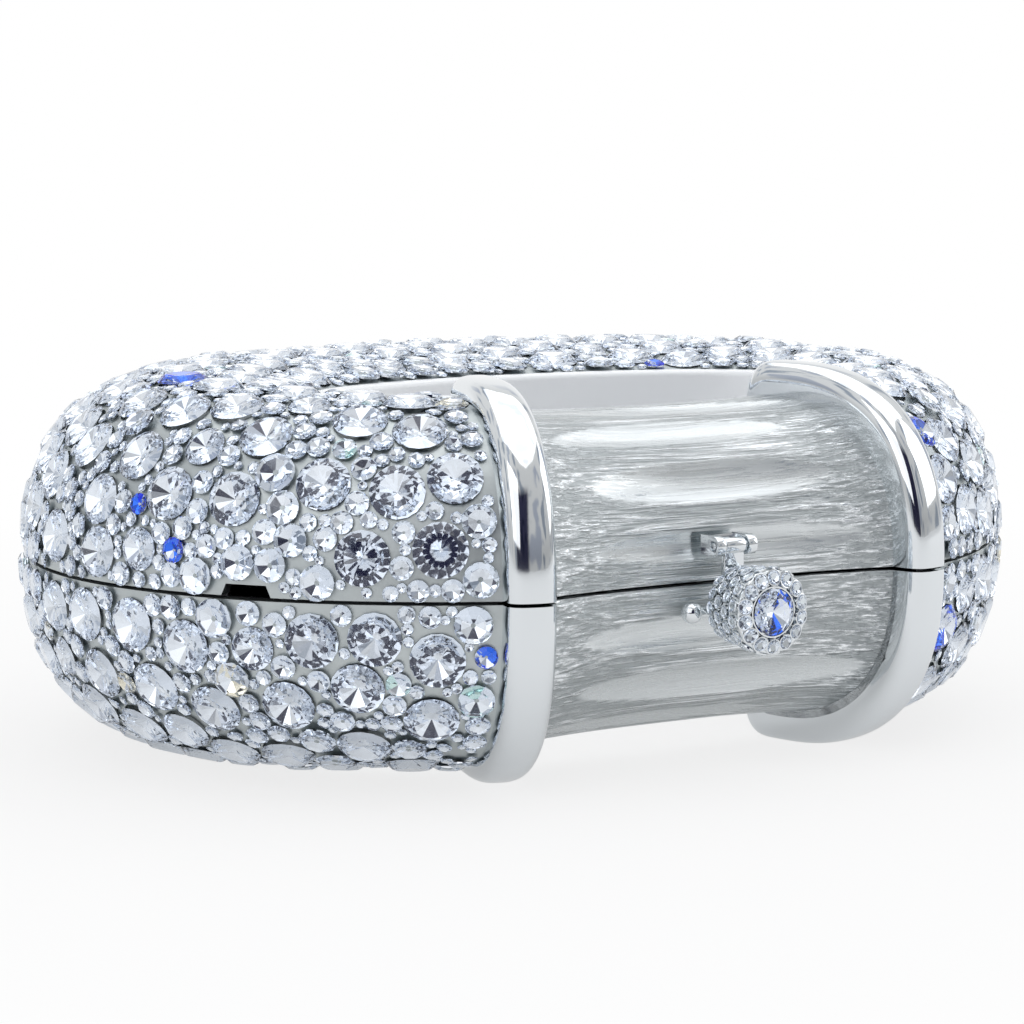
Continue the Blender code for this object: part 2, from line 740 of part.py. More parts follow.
def cut_corners(bm, triangles, verts, stones):
    """Cuts the net half way to each crystal's neighbours; gives each crystal's cell as a loop of points."""
    middles = {}
    follows = {stone: {} for stone in stones}

    def middle(first, second):
        pair = (min(first, second), max(first, second))
        if pair not in middles:
            middles[pair] = bm.verts.new((verts[first].co + verts[second].co) / 2)
        return middles[pair]

    for triangle in triangles:
        rest = []
        for index, corner in enumerate(triangle):
            before, after = triangle[index - 1], triangle[(index + 1) % 3]
            if corner in stones:
                follows[corner][middle(corner, after)] = middle(corner, before)
            elif before in stones:
                rest += [middle(before, corner), verts[corner]]
            else:
                rest.append(verts[corner])
            if corner in stones:
                rest += [middle(corner, before), middle(corner, after)]
        kept = [vert for index, vert in enumerate(rest) if vert != rest[index - 1]]
        if len(kept) > 2:
            bm.faces.new(kept)
    cells = {}
    for stone, follow in follows.items():
        loop = [next(iter(follow))]
        while len(loop) < len(follow):
            loop.append(follow[loop[-1]])
        cells[stone] = loop
    return cells


def case_crystals(half, word, seed, finish, body):
    """The crystals of one half on their setting; the five that the part rests on are separate."""
    stations = [(place, *setting_lines(place)) for place in places()]
    steps = border_steps(len(stations) - 1, SLOPE_SEGMENTS + ROUND_SEGMENTS)
    sites = stone_sites(half, seed)
    bm = bmesh.new()
    outer = [in_plan(place, line, half) for place, line, _ in stations]
    inner = [[bm.verts.new(point) for point in in_plan(place, line, half)] for place, _, line in stations]
    verts = [bm.verts.new(outer[index][part]) for index, part in steps]
    for site in sites:
        seat, normal = stone_seat(site, half)
        verts.append(bm.verts.new(seat + normal * (SEAT_GAP + SETTING_THICKNESS)))
    border = [(stations[index][0], stations[index][1][:part + 1]) for index, part in steps]
    apart = len(REST_STONE_STEPS) if half < 0 else 0
    stones = {len(steps) + number: site for number, site in enumerate(sites)
              if number >= apart and not is_bare(skin_point(*site), half)}
    cells = cut_corners(bm, crystal_net(border, sites), verts, stones)
    for stone, loop in cells.items():
        cell = bm.faces.new(loop)
        table = bmesh.ops.extrude_discrete_faces(bm, faces=[cell])["faces"][0]
        seat, normal = stone_seat(stones[stone], half)
        for vert in table.verts:
            reach = vert.co - seat
            level = (reach - normal * reach.dot(normal)) * STONE_TABLE_SHARE
            vert.co = seat + level + normal * (SEAT_GAP + STONE_HEIGHT)
    for first, second in zip(inner, inner[1:]):
        for part in range(len(first) - 1):
            bm.faces.new((first[part], first[part + 1], second[part + 1], second[part]))
    outer_loop = verts[:len(steps)]
    inner_loop = [inner[index][part] for index, part in steps]
    for index in range(len(steps)):
        bm.faces.new((outer_loop[index], outer_loop[index - 1], inner_loop[index - 1], inner_loop[index]))
    bmesh.ops.delete(bm, geom=[vert for vert in bm.verts if not vert.link_faces], context="VERTS")
    bmesh.ops.recalc_face_normals(bm, faces=bm.faces)
    cover = new_object(f"{word}_crystals", bm, finish, body, math.radians(10))
    cut_openings(cover, half, finish, body)
    for index, site in enumerate(sites[:apart]):
        bm = bmesh.new()
        seat, normal = stone_seat(site, half)
        add_stone(bm, seat, normal, STONE_RADIUS, SETTING_THICKNESS + 2 * SEAT_GAP, SEAT_GAP + STONE_HEIGHT)
        new_object(f"rest_crystal_{index + 1}", bm, finish, body, math.radians(10))


def cut_openings(cover, half, finish, body):
    """Opens the setting over the hinge, and in the upper half over the chain slot."""
    ends = sorted((-half * OVERRUN, half * (LEAF_HEIGHT + SEAT_GAP)))
    rear = hinge_point().y
    low = Vector((-HINGE_LENGTH / 2 - SEAT_GAP, rear - KNUCKLE_RADIUS - SEAT_GAP - OVERRUN, ends[0]))
    high = Vector((HINGE_LENGTH / 2 + SEAT_GAP, rear + OVERRUN, ends[1]))
    cut(cover, f"{cover.name}_hinge_cutter", block(low, high), finish, body)
    if half > 0:
        cut(cover, f"{cover.name}_slot_cutter", slot_opening(), finish, body)


# Hinge
def hinge_point():
    """Where the hinge's axis crosses the middle plane: the knuckles just clear the case's rear wall."""
    return Vector((0, CASE_CENTRE_Y + CASE_HALF_DEPTH + SEAT_GAP + KNUCKLE_RADIUS, 0))


def knuckles(of_lid):
    """The middle and length of each knuckle on one leaf, along X."""
    lid_length = HINGE_LENGTH * LID_KNUCKLE_SHARE
    if of_lid:
        return [(0.0, lid_length)]
    length = (HINGE_LENGTH - lid_length) / 2 - KNUCKLE_GAP
    middle = (lid_length + length) / 2 + KNUCKLE_GAP
    return [(-middle, length), (middle, length)]


def hinge_leaf(name, half, finish, body):
    """A plate that lies against the case's rear wall, and its knuckles."""
    axis = hinge_point()
    near = axis.y - KNUCKLE_RADIUS
    far = near + LEAF_THICKNESS
    plate_foot = KNUCKLE_RADIUS + KNUCKLE_GAP
    ends = sorted((half * plate_foot, half * LEAF_HEIGHT))
    low = Vector((-HINGE_LENGTH / 2, near, ends[0]))
    high = Vector((HINGE_LENGTH / 2, far, ends[1]))
    leaf = new_object(name, block(low, high), finish, body)
    for index, (middle, length) in enumerate(knuckles(half > 0)):
        ends = sorted((half * KNUCKLE_RADIUS / 2, half * (plate_foot + LEAF_THICKNESS)))
        low = Vector((middle - length / 2, near, ends[0]))
        high = Vector((middle + length / 2, far, ends[1]))
        cut(leaf, f"{name}_web_{index}", block(low, high), finish, body, "UNION")
        barrel = rod(axis + Vector((middle, 0, 0)), "X", KNUCKLE_RADIUS, length, 16)
        cut(leaf, f"{name}_knuckle_{index}", barrel, finish, body, "UNION")
    bore = rod(axis, "X", HINGE_PIN_RADIUS + HINGE_PIN_GAP, HINGE_LENGTH + OVERRUN)
    cut(leaf, f"{name}_bore", bore, finish, body)
    return leaf


def hinge_pin(name, finish, body):
    return new_object(name, rod(hinge_point(), "X", HINGE_PIN_RADIUS, HINGE_LENGTH), finish, body)


# Clasp: everything is stacked forward from the handle's waist
def waist_front():
    return -(COLLAR_FRONT_REACH - HANDLE_WAIST)


def catch_bar_y():
    return waist_front() - SEAT_GAP - CATCH_BALL_RADIUS


def arm_back():
    return catch_bar_y() - CATCH_BAR_RADIUS - SEAT_GAP


def arm_front():
    return arm_back() - ARM_THICKNESS


def clasp_pivot():
    return Vector((0, arm_back() - ARM_THICKNESS / 2, CLASP_PIVOT_HEIGHT))


def drum_back():
    return arm_front() - SEAT_GAP - DRUM_NECK_LENGTH


def drum_face():
    return drum_back() - DRUM_LENGTH


def clasp_reach():
    """How far forward the centre crystal's table comes."""
    return drum_face() - DRUM_BEZEL_HEIGHT - SEAT_GAP - CENTRE_STONE_HEIGHT


def clasp_lugs(name, finish, body):
    """Two ears on a plate against the upper handle, one at each end of the arm's sleeve."""
    pivot = clasp_pivot()
    back = waist_front() - SEAT_GAP
    inner = CLASP_SLEEVE_LENGTH / 2 + SEAT_GAP
    outer = inner + LUG_WIDTH
    low = Vector((-outer, back - LUG_PLATE_THICKNESS, pivot.z - LUG_PLATE_HEIGHT / 2))
    high = Vector((outer, back, pivot.z + LUG_PLATE_HEIGHT / 2))
    lugs = new_object(name, block(low, high), finish, body)
    outline = [(back, pivot.z + LUG_RADIUS)]
    for step in range(LUG_ROUND_STEPS + 1):
        turn = QUARTER_TURN + HALF_TURN * step / LUG_ROUND_STEPS
        outline.append((pivot.y + LUG_RADIUS * math.cos(turn), pivot.z + LUG_RADIUS * math.sin(turn)))
    outline.append((back, pivot.z - LUG_RADIUS))
    for side in (-1, 1):
        ear = loft([[Vector((side * x, y, z)) for y, z in outline] for x in (inner, outer)])
        cut(lugs, f"{name}_ear_{side}", ear, finish, body, "UNION")
    bore = rod(pivot, "X", CLASP_PIN_RADIUS + CLASP_PIN_GAP, 2 * outer + OVERRUN)
    cut(lugs, f"{name}_bore", bore, finish, body)
    return lugs


def clasp_pin(name, finish, body):
    length = CLASP_SLEEVE_LENGTH + 2 * (SEAT_GAP + LUG_WIDTH)
    return new_object(name, rod(clasp_pivot(), "X", CLASP_PIN_RADIUS, length), finish, body)


def clasp_arm(name, finish, body):
    """A sleeve on the pivot, a flat strap down from it and a round hub behind the drum."""
    pivot = clasp_pivot()
    half_width = CLASP_SLEEVE_LENGTH / 2
    arm = new_object(name, rod(pivot, "X", CLASP_SLEEVE_RADIUS, CLASP_SLEEVE_LENGTH, 16), finish, body)
    low = Vector((-half_width, arm_front(), -DRUM_DROP))
    high = Vector((half_width, arm_back(), pivot.z))
    cut(arm, f"{name}_strap", block(low, high), finish, body, "UNION")
    hub = rod(Vector((0, pivot.y, -DRUM_DROP)), "Y", ARM_HUB_RADIUS, ARM_THICKNESS, 20)
    cut(arm, f"{name}_hub", hub, finish, body, "UNION")
    bore = rod(pivot, "X", CLASP_PIN_RADIUS + CLASP_PIN_GAP, CLASP_SLEEVE_LENGTH + OVERRUN)
    cut(arm, f"{name}_bore", bore, finish, body)
    return arm


def catch_bar(name, finish, body):
    """A bar with a ball at each end, fixed to the lower handle behind the arm."""
    centre = Vector((0, catch_bar_y(), -CATCH_DROP))
    meets = math.asin(CATCH_BAR_RADIUS / CATCH_BALL_RADIUS)
    half = []
    for step in range(CATCH_BALL_STEPS + 1):
        turn = HALF_TURN + (meets - HALF_TURN) * step / CATCH_BALL_STEPS
        along = CATCH_BALL_RADIUS * math.cos(turn) - CATCH_BALL_SPAN / 2
        half.append((along, CATCH_BALL_RADIUS * math.sin(turn)))
    line = half + [(-along, out) for along, out in half[::-1]]
    line[0] = (line[0][0], 0.0)
    line[-1] = (line[-1][0], 0.0)
    profile = [centre + Vector((along, 0, out)) for along, out in line]
    return new_object(name, turned(profile, centre, (1, 0, 0), 12), finish, body)


def clasp_drum(name, finish, body):
    axis = Vector((0, 0, -DRUM_DROP))
    neck = drum_back() + DRUM_NECK_LENGTH
    line = [(neck, 0.0), (neck, DRUM_NECK_RADIUS), (drum_back(), DRUM_NECK_RADIUS),
            (drum_back(), DRUM_BACK_RADIUS), (drum_face(), DRUM_FRONT_RADIUS),
            (drum_face(), DRUM_BEZEL_RADIUS), (drum_face() - DRUM_BEZEL_HEIGHT, DRUM_BEZEL_RADIUS),
            (drum_face() - DRUM_BEZEL_HEIGHT, 0.0)]
    profile = [axis + Vector((0, along, out)) for along, out in line]
    return new_object(name, turned(profile, axis, (0, 1, 0), DRUM_SIDES), finish, body)


def around(radius, along, turn):
    """A point round the drum's axis."""
    return Vector((radius * math.cos(turn), along, radius * math.sin(turn) - DRUM_DROP))


def ring_stones(name, finish, body):
    """A ring of small crystals on the drum's face, round the bezel."""
    pitch = FULL_TURN / RING_STONES
    inner = DRUM_BEZEL_RADIUS + SEAT_GAP
    outer = DRUM_FRONT_RADIUS + SEAT_GAP + SMALL_SETTING_THICKNESS
    back = drum_face() - SEAT_GAP
    front = back - SMALL_SETTING_THICKNESS

    def corner(row, index):
        return around(outer if row else inner, front, pitch * index)

    def peak(row, index):
        return around((inner + outer) / 2, front - SMALL_STONE_HEIGHT, pitch * index)

    def seat(end, index):
        return around(outer if end else inner, back, pitch * index)

    return new_object(name, crystal_band(1, RING_STONES, corner, peak, seat), finish, body, math.radians(10))


def side_stones(name, finish, body):
    """Rows of small crystals round the drum's tapered side; each stands over one side of the drum."""
    pitch = FULL_TURN / DRUM_SIDES
    flare = DRUM_FRONT_RADIUS - DRUM_BACK_RADIUS

    def drum_radius(row):
        return DRUM_BACK_RADIUS + flare * row / DRUM_ROWS

    def along(row):
        return drum_back() - DRUM_LENGTH * row / DRUM_ROWS

    def corner(row, index):
        return around(drum_radius(row) + SEAT_GAP + SMALL_SETTING_THICKNESS, along(row), pitch * index)

    def peak(row, index):
        out = drum_radius(row + 0.5) + SEAT_GAP + SMALL_SETTING_THICKNESS + SMALL_STONE_HEIGHT
        return around(out, along(row + 0.5), pitch * index)

    def seat(end, index):
        return around(drum_radius(end) + SEAT_GAP, along(end), pitch * index)

    return new_object(name, crystal_band(DRUM_ROWS, DRUM_SIDES, corner, peak, seat), finish, body,
                      math.radians(10))


def centre_stone(name, finish, body):
    bm = bmesh.new()
    seat = Vector((0, drum_face() - DRUM_BEZEL_HEIGHT, -DRUM_DROP))
    add_stone(bm, seat, Vector((0, -1, 0)), CENTRE_STONE_RADIUS, SEAT_GAP, SEAT_GAP + CENTRE_STONE_HEIGHT, 8)
    return new_object(name, bm, finish, body, math.radians(10))


# Assembly
def half_of_case(half, word, body, finishes):
    cast, brushed, polished, crystal, satin = finishes
    case = case_half(f"{word}_case", half, cast, body)
    if half > 0:
        cut(case, "slot_cutter", slot_opening(), cast, body)
    hole_wall(f"{word}_hole_wall", half, polished, body)
    lining(f"{word}_lining", half, satin, body)
    handle_half(f"{word}_handle", half, brushed, body)
    collar_half(f"{word}_left_collar", -1, half, polished, body)
    collar_half(f"{word}_right_collar", 1, half, polished, body)
    case_crystals(half, word, 7 + half, crystal, body)
    hinge_leaf(f"{word}_hinge_leaf", half, polished, body)


def build():
    for thing in list(bpy.data.objects):
        bpy.data.objects.remove(thing, do_unlink=True)
    finishes = (cast_silver(), brushed_silver(), polished_silver(), clear_crystal(), grey_satin())
    cast, brushed, polished, crystal, satin = finishes
    lower = new_body("lower_half", Vector((0, 0, 0)))
    rear = hinge_point().y + KNUCKLE_RADIUS
    lower.empty.location = (0, -(rear + clasp_reach()) / 2, REST_HEIGHT)
    lid = new_body("lid", hinge_point(), lower)
    clasp = new_body("clasp", clasp_pivot(), lid)
    half_of_case(-1, "lower", lower, finishes)
    half_of_case(1, "upper", lid, finishes)
    locating_lip("locating_lip", cast, lower)
    chain_eye("chain_eye", polished, lower)
    hinge_pin("hinge_pin", polished, lower)
    catch_bar("catch_bar", polished, lower)
    clasp_lugs("clasp_lugs", polished, lid)
    clasp_pin("clasp_pin", polished, lid)
    clasp_arm("clasp_arm", polished, clasp)
    clasp_drum("clasp_drum", polished, clasp)
    centre_stone("clasp_centre_stone", crystal, clasp)
    ring_stones("clasp_ring_stones", crystal, clasp)
    side_stones("clasp_side_stones", crystal, clasp)


build()
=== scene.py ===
# %% [markdown]
# # A crystal evening clutch
#
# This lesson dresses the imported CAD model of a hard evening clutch: an oval ring of a case that opens like a
# clam, covered with cut crystals, with a bamboo-shaped bar handle between two beaded collars. The CAD model says
# where every piece is and how it moves. Each cell below makes one piece or one finish, in the same frame and in
# metres, so nothing has to be fitted afterwards.

import math
import random

import bmesh
import bpy
import numpy
from mathutils import Matrix, Vector


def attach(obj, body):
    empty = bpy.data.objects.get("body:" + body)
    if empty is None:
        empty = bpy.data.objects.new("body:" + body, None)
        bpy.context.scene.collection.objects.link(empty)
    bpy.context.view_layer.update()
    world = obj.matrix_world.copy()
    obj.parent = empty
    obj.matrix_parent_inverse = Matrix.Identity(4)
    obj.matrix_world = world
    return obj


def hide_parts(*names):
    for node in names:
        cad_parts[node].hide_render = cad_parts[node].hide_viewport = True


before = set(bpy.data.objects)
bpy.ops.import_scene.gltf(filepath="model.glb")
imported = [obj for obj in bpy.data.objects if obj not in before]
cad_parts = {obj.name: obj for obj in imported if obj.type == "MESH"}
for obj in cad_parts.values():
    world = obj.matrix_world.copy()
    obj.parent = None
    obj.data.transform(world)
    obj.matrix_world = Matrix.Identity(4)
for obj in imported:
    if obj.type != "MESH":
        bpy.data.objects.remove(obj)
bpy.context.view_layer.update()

# %% [markdown]
# ## Camera, floor and light
#
# A product photograph like this is taken with a long lens from a little above the table, in a white tent. A long
# lens flattens perspective, so the two collars look almost the same size. The camera is set first, because every
# later choice is judged through it. Its place is written in the height of the handle's axis, the measure that the
# view was worked out in. Light bounces about inside a cut stone many times before it comes out, so the paths may be
# longer than usual. With fewer bounces the stones' rims go black.

# %% The camera
handle_axis = Vector((0, -0.03245, 0.028))
camera_data = bpy.data.cameras.new("camera")
camera_data.lens = 116.0
camera_data.sensor_width = 36.0
camera_data.clip_start = 0.02
camera_data.clip_end = 20.0
camera = bpy.data.objects.new("camera", camera_data)
bpy.context.scene.collection.objects.link(camera)
bpy.context.scene.camera = camera
photo_unit = 0.028
camera.location = handle_axis + Vector((-9.02, -14.01, 2.39)) * photo_unit
target = handle_axis + Vector((-0.759, 0, 0.314)) * photo_unit
camera.rotation_mode = "QUATERNION"
camera.rotation_quaternion = (target - camera.location).to_track_quat("-Z", "Y")
bpy.context.scene.view_settings.view_transform = "Standard"
bpy.context.scene.cycles.max_bounces = 16
bpy.context.scene.cycles.glossy_bounces = 12
bpy.context.scene.cycles.transmission_bounces = 16
print("camera to target:", round((target - camera.location).length, 3), "m")

# %% [markdown]
# Metal and cut glass show what is around them more than any colour of their own. The world is a white tent: bright
# above, with folds and gaps that draw the facets, and one dark strip where the photographer stands, which the
# polished collars show as a narrow dark band. The backdrop behind the clutch is plain white to the camera and in
# reflections.


# %% Node helpers
def new_material(name):
    """A new material, its node tree and its Principled shader."""
    finish = bpy.data.materials.new(name)
    finish.use_nodes = True
    tree = finish.node_tree
    return finish, tree, tree.nodes["Principled BSDF"]


def add_node(tree, kind, inputs=(), **settings):
    """Adds a node; inputs are (socket, value or output) pairs."""
    node = tree.nodes.new(kind)
    for key, value in settings.items():
        setattr(node, key, value)
    for socket, value in inputs:
        if isinstance(value, bpy.types.NodeSocket):
            tree.links.new(value, node.inputs[socket])
        else:
            node.inputs[socket].default_value = value
    return node


def ramp(tree, source, stops):
    """A colour ramp between (place, grey or colour) stops."""
    node = add_node(tree, "ShaderNodeValToRGB", [(0, source)])
    while len(node.color_ramp.elements) < len(stops):
        node.color_ramp.elements.new(0.5)
    for element, (place, tone) in zip(node.color_ramp.elements, stops):
        element.position = place
        element.color = (tone, tone, tone, 1) if isinstance(tone, float) else (*tone, 1)
    return node.outputs["Color"]


def combined(tree, operation, first, second):
    """Two numbers put together by a Math node."""
    return add_node(tree, "ShaderNodeMath", [(0, first), (1, second)], operation=operation).outputs[0]


def mixed(tree, share, first, second, kind="RGBA", **settings):
    """Two colours, or two vectors, mixed by a share."""
    node = add_node(tree, "ShaderNodeMix", [("Factor", share), ("A", first), ("B", second)], data_type=kind,
                    **settings)
    return node.outputs["Result"]


def in_range(tree, value, low=0.0, high=1.0, start=0.0, end=1.0):
    """A number carried from the range low to high into the range start to end."""
    node = add_node(tree, "ShaderNodeMapRange", [("Value", value), ("From Min", low), ("From Max", high),
                                                 ("To Min", start), ("To Max", end)])
    return node.outputs[0]


def noise(tree, place, scale, detail, **settings):
    """A cloudy pattern of numbers from 0 to 1."""
    return add_node(tree, "ShaderNodeTexNoise", [("Vector", place), ("Scale", scale), ("Detail", detail)],
                    **settings).outputs[0]


def object_place(tree):
    """Where a point is on the piece, which stays with it as it moves."""
    return add_node(tree, "ShaderNodeTexCoord").outputs["Object"]


# %% The tent
world = bpy.data.worlds.new("tent")
bpy.context.scene.world = world
world.use_nodes = True
sky = world.node_tree
direction = add_node(sky, "ShaderNodeTexCoord").outputs["Generated"]
plain_white = (1, 1, 1, 1)


def facing(x, y, z, low=-1.0, high=1.0):
    """How far a direction agrees with (x, y, z), as a share from low to high."""
    agreement = add_node(sky, "ShaderNodeVectorMath", [(0, direction), (1, (x, y, z))], operation="DOT_PRODUCT")
    return in_range(sky, agreement.outputs["Value"], low, high)


def layered(first, second):
    """Two tones multiplied."""
    return mixed(sky, 1.0, first, second, blend_type="MULTIPLY")


height_tone = ramp(sky, facing(0, 0, 1), [(0.0, 0.72), (0.48, 0.72), (0.54, 0.62), (0.64, 0.82), (0.85, 0.84)])
room_tone = ramp(sky, facing(0, 1, 0), [(0.0, 0.70), (0.2, 0.78), (0.42, 0.98), (1.0, 1.0)])
slate = (0.05, 0.05, 0.10)
aside_tone = ramp(sky, facing(0.861, -0.508, 0), [(0.28, 1.0), (0.30, slate), (0.70, slate), (0.72, 1.0)])
ahead = ramp(sky, facing(-0.508, -0.861, 0), [(0.62, 0.0), (0.70, 1.0)])
low_down = ramp(sky, facing(0, 0, 1), [(0.80, 1.0), (0.84, 0.0)])
strip = mixed(sky, layered(ahead, low_down), plain_white, aside_tone)
fold_tone = ramp(sky, noise(sky, direction, 3.6, 1.5), [(0.37, (0.44, 0.49, 0.57)), (0.43, (1.0, 1.0, 1.0)),
                                                        (0.58, (1.0, 1.0, 1.0)), (0.63, (0.60, 0.64, 0.74))])
tent = layered(layered(height_tone, room_tone), layered(strip, fold_tone))
path = add_node(sky, "ShaderNodeLightPath").outputs
mirrored = combined(sky, "MAXIMUM", path["Is Glossy Ray"], path["Is Transmission Ray"])
behind = combined(sky, "MULTIPLY", mirrored, facing(0.5, 0.86, -0.4, 0.55, 0.75))
seen = combined(sky, "MAXIMUM", path["Is Camera Ray"], behind)
shown = mixed(sky, seen, tent, plain_white)
sky.links.new(shown, sky.nodes["Background"].inputs["Color"])
sky.nodes["Background"].inputs["Strength"].default_value = 1.0
print("tent:", len(sky.nodes), "nodes")

# %% [markdown]
# Three soft lamps light the clutch, as in a light tent: the largest over it, one from the front left, and a smaller
# one from the right. The floor is a pale sheet. It shows as white, but a part of it still answers to the light, so
# that it keeps the clutch's shadow. That part is largest close to the clutch. Metal and stones see less of the
# glow than the camera does, or the floor would wash out their undersides.


# %% Lamps and floor
def add_lamp(name, place, size, power):
    """A square soft lamp that faces the clutch."""
    data = bpy.data.lights.new(name, "AREA")
    data.size = size
    data.energy = power
    lamp = bpy.data.objects.new(name, data)
    bpy.context.scene.collection.objects.link(lamp)
    lamp.location = place
    lamp.rotation_mode = "QUATERNION"
    lamp.rotation_quaternion = (handle_axis - lamp.location).to_track_quat("-Z", "Y")


add_lamp("overhead_lamp", Vector((0.15, 0.1, 0.95)), 1.3, 4.4)
add_lamp("front_left_lamp", Vector((-0.75, -0.55, 0.55)), 0.8, 2.4)
add_lamp("right_lamp", Vector((0.85, -0.35, 0.45)), 0.6, 1.5)

floor_mesh = bmesh.new()
bmesh.ops.create_grid(floor_mesh, x_segments=1, y_segments=1, size=6.0)
floor_data = bpy.data.meshes.new("floor")
floor_mesh.to_mesh(floor_data)
floor_mesh.free()
floor = bpy.data.objects.new("floor", floor_data)
bpy.context.scene.collection.objects.link(floor)
white_sheet, tree, shader = new_material("white_sheet")
shader.inputs["Base Color"].default_value = (0.78, 0.78, 0.78, 1)
shader.inputs["Roughness"].default_value = 0.8
glow = add_node(tree, "ShaderNodeEmission", [("Color", plain_white), ("Strength", 1.0)])
path = add_node(tree, "ShaderNodeLightPath").outputs
reach = add_node(tree, "ShaderNodeVectorMath", [(0, object_place(tree))], operation="LENGTH")
fade = in_range(tree, reach.outputs["Value"], 0.09, 0.26, 0.80, 1.0)
camera_glow = combined(tree, "MULTIPLY", path["Is Camera Ray"], fade)
mirror_glow = combined(tree, "MULTIPLY", path["Is Glossy Ray"], 0.42)
crystal_glow = combined(tree, "MULTIPLY", path["Is Transmission Ray"], 0.35)
both_glows = combined(tree, "MAXIMUM", mirror_glow, crystal_glow)
share = combined(tree, "MAXIMUM", camera_glow, both_glows)
sheet = add_node(tree, "ShaderNodeMixShader", [(0, share), (1, shader.outputs[0]), (2, glow.outputs[0])])
tree.links.new(sheet.outputs[0], tree.nodes["Material Output"].inputs["Surface"])
floor_data.materials.append(white_sheet)
print("lamps in watts:", {lamp.name: round(lamp.energy, 1) for lamp in bpy.data.lights})

# %% [markdown]
# ## Finishes
#
# Nearly all of the clutch is one plated metal. The cast cover between the crystals is satin. The handle is
# brushed. The collars are polished, and polished metal is never quite flat, so a broad, faint bump bends its
# reflections. The hole's wall shows as one pale, even tone with no room in it, so it is barely metallic. The lip
# inside is coloured near black as painted shade, so that the gap at the parting line shows dark.


# %% Metals
def metal(name, colour, roughness, patches, bumps, metallic=1.0):
    """Plated metal: patches of (scale, low, high) vary its roughness, bumps of (scale, strength) its surface."""
    finish, tree, shader = new_material(name)
    place = object_place(tree)
    shader.inputs["Base Color"].default_value = (*colour, 1)
    shader.inputs["Metallic"].default_value = metallic
    scale, low, high = patches
    spread = in_range(tree, noise(tree, place, scale, 4.0), 0.3, 0.7, roughness * low, roughness * high)
    tree.links.new(spread, shader.inputs["Roughness"])
    normal = None
    for size, strength in bumps:
        grain = noise(tree, place, size, 3.0)
        bump = add_node(tree, "ShaderNodeBump", [("Height", grain), ("Strength", strength), ("Distance", 0.0002)])
        if normal:
            tree.links.new(normal, bump.inputs["Normal"])
        normal = bump.outputs[0]
    tree.links.new(normal, shader.inputs["Normal"])
    return finish


cover_silver = metal("cover_silver", (0.54, 0.58, 0.585), 0.42, (260.0, 0.8, 1.25), [(900.0, 0.12), (90.0, 0.2)])
polished_silver = metal("polished_silver", (0.76, 0.79, 0.81), 0.06, (120.0, 0.7, 1.6), [(45.0, 0.08), (420.0, 0.03)])
hole_silver = metal("hole_silver", (0.97, 0.985, 1.0), 0.35, (90.0, 0.8, 1.2), [(40.0, 0.15), (300.0, 0.05)], 0.05)
# painted shade: the lip is near black so that the gap at the parting line looks dark
lip_painted_shade = metal("lip_painted_shade", (0.10, 0.10, 0.11), 0.45, (300.0, 0.8, 1.2), [(500.0, 0.2)])
print("metals:", [finish.name for finish in (cover_silver, polished_silver, hole_silver, lip_painted_shade)])

# %% [markdown]
# The handle's brushing runs along it like bark: long, wavy scratches that break up and cross at small angles. Two
# noise patterns are stretched along X. A coarse one gives the ridges and a fine one gives the scratches. Their
# colour is painted light: pale painted glints on the ridges, dark lines between them, and painted shade in the
# scratches. The carved flats are smoother and one even tone. The handle's mesh says in an attribute, flat_share,
# how far inside a flat each point is.

# %% Brushed bark
bark_silver, tree, shader = new_material("bark_silver")
shader.inputs["Metallic"].default_value = 1.0
place = object_place(tree)
bend = add_node(tree, "ShaderNodeTexNoise", [("Vector", place), ("Scale", 60.0), ("Detail", 2.0)]).outputs["Color"]
bent = mixed(tree, 0.0007, place, bend, "VECTOR")
heights = []
for along, across, low, high in ((24.0, 820.0, 0.42, 0.60), (60.0, 2900.0, 0.42, 0.58)):
    stretched = add_node(tree, "ShaderNodeMapping", [("Vector", bent), ("Scale", (along, across, across))])
    grain = add_node(tree, "ShaderNodeTexNoise", [("Vector", stretched.outputs[0]), ("Scale", 1.0),
                                                  ("Detail", 3.0), ("Roughness", 0.55)]).outputs[0]
    heights.append(in_range(tree, grain, low, high))
ridge_height, scratch_height = heights
flat_share = add_node(tree, "ShaderNodeAttribute", attribute_name="flat_share").outputs["Fac"]
rough_share = in_range(tree, flat_share, start=1.0, end=0.15)
# painted light in the colour: pale painted glints on the ridges and dark lines between them, and painted shade in the
# scratches
ridge_glint_tone = mixed(tree, ridge_height, (0.48, 0.51, 0.52, 1), (0.92, 0.95, 0.97, 1))
scratch_shade_tone = mixed(tree, scratch_height, (0.42, 0.45, 0.46, 1), ridge_glint_tone)
tree.links.new(mixed(tree, flat_share, scratch_shade_tone, (0.68, 0.71, 0.72, 1)), shader.inputs["Base Color"])
tree.links.new(in_range(tree, scratch_height, start=0.38, end=0.22), shader.inputs["Roughness"])
normal = None
for height, strength, depth in ((ridge_height, 0.75, 0.0003), (scratch_height, 0.9, 0.0001)):
    relief = add_node(tree, "ShaderNodeBump", [("Height", height), ("Distance", depth),
                                               ("Strength", combined(tree, "MULTIPLY", rough_share, strength))])
    if normal:
        tree.links.new(normal, relief.inputs["Normal"])
    normal = relief.outputs[0]
tree.links.new(normal, shader.inputs["Normal"])
print("bark:", len(tree.nodes), "nodes")

# %% [markdown]
# A crystal of this kind is a cut glass front on a foiled back. Light goes in through the facets, bounces off the
# foil and comes out somewhere else, which is what makes it look dark in one facet and white in the next. So the
# stones are real glass over a mirror, and the look comes from their cut. The colour that a few stones flash is
# painted: foils in three colours stand in for the light that the glass splits into colours, as painted glints.
# All the pieces with crystals have the same six finishes, in the same order.


# %% Crystal
def glass(name, colour, index):
    """Clear glass with its refractive index."""
    finish, tree, shader = new_material(name)
    shader.inputs["Base Color"].default_value = (*colour, 1)
    shader.inputs["Roughness"].default_value = 0.0
    shader.inputs["Transmission Weight"].default_value = 1.0
    shader.inputs["IOR"].default_value = index
    return finish


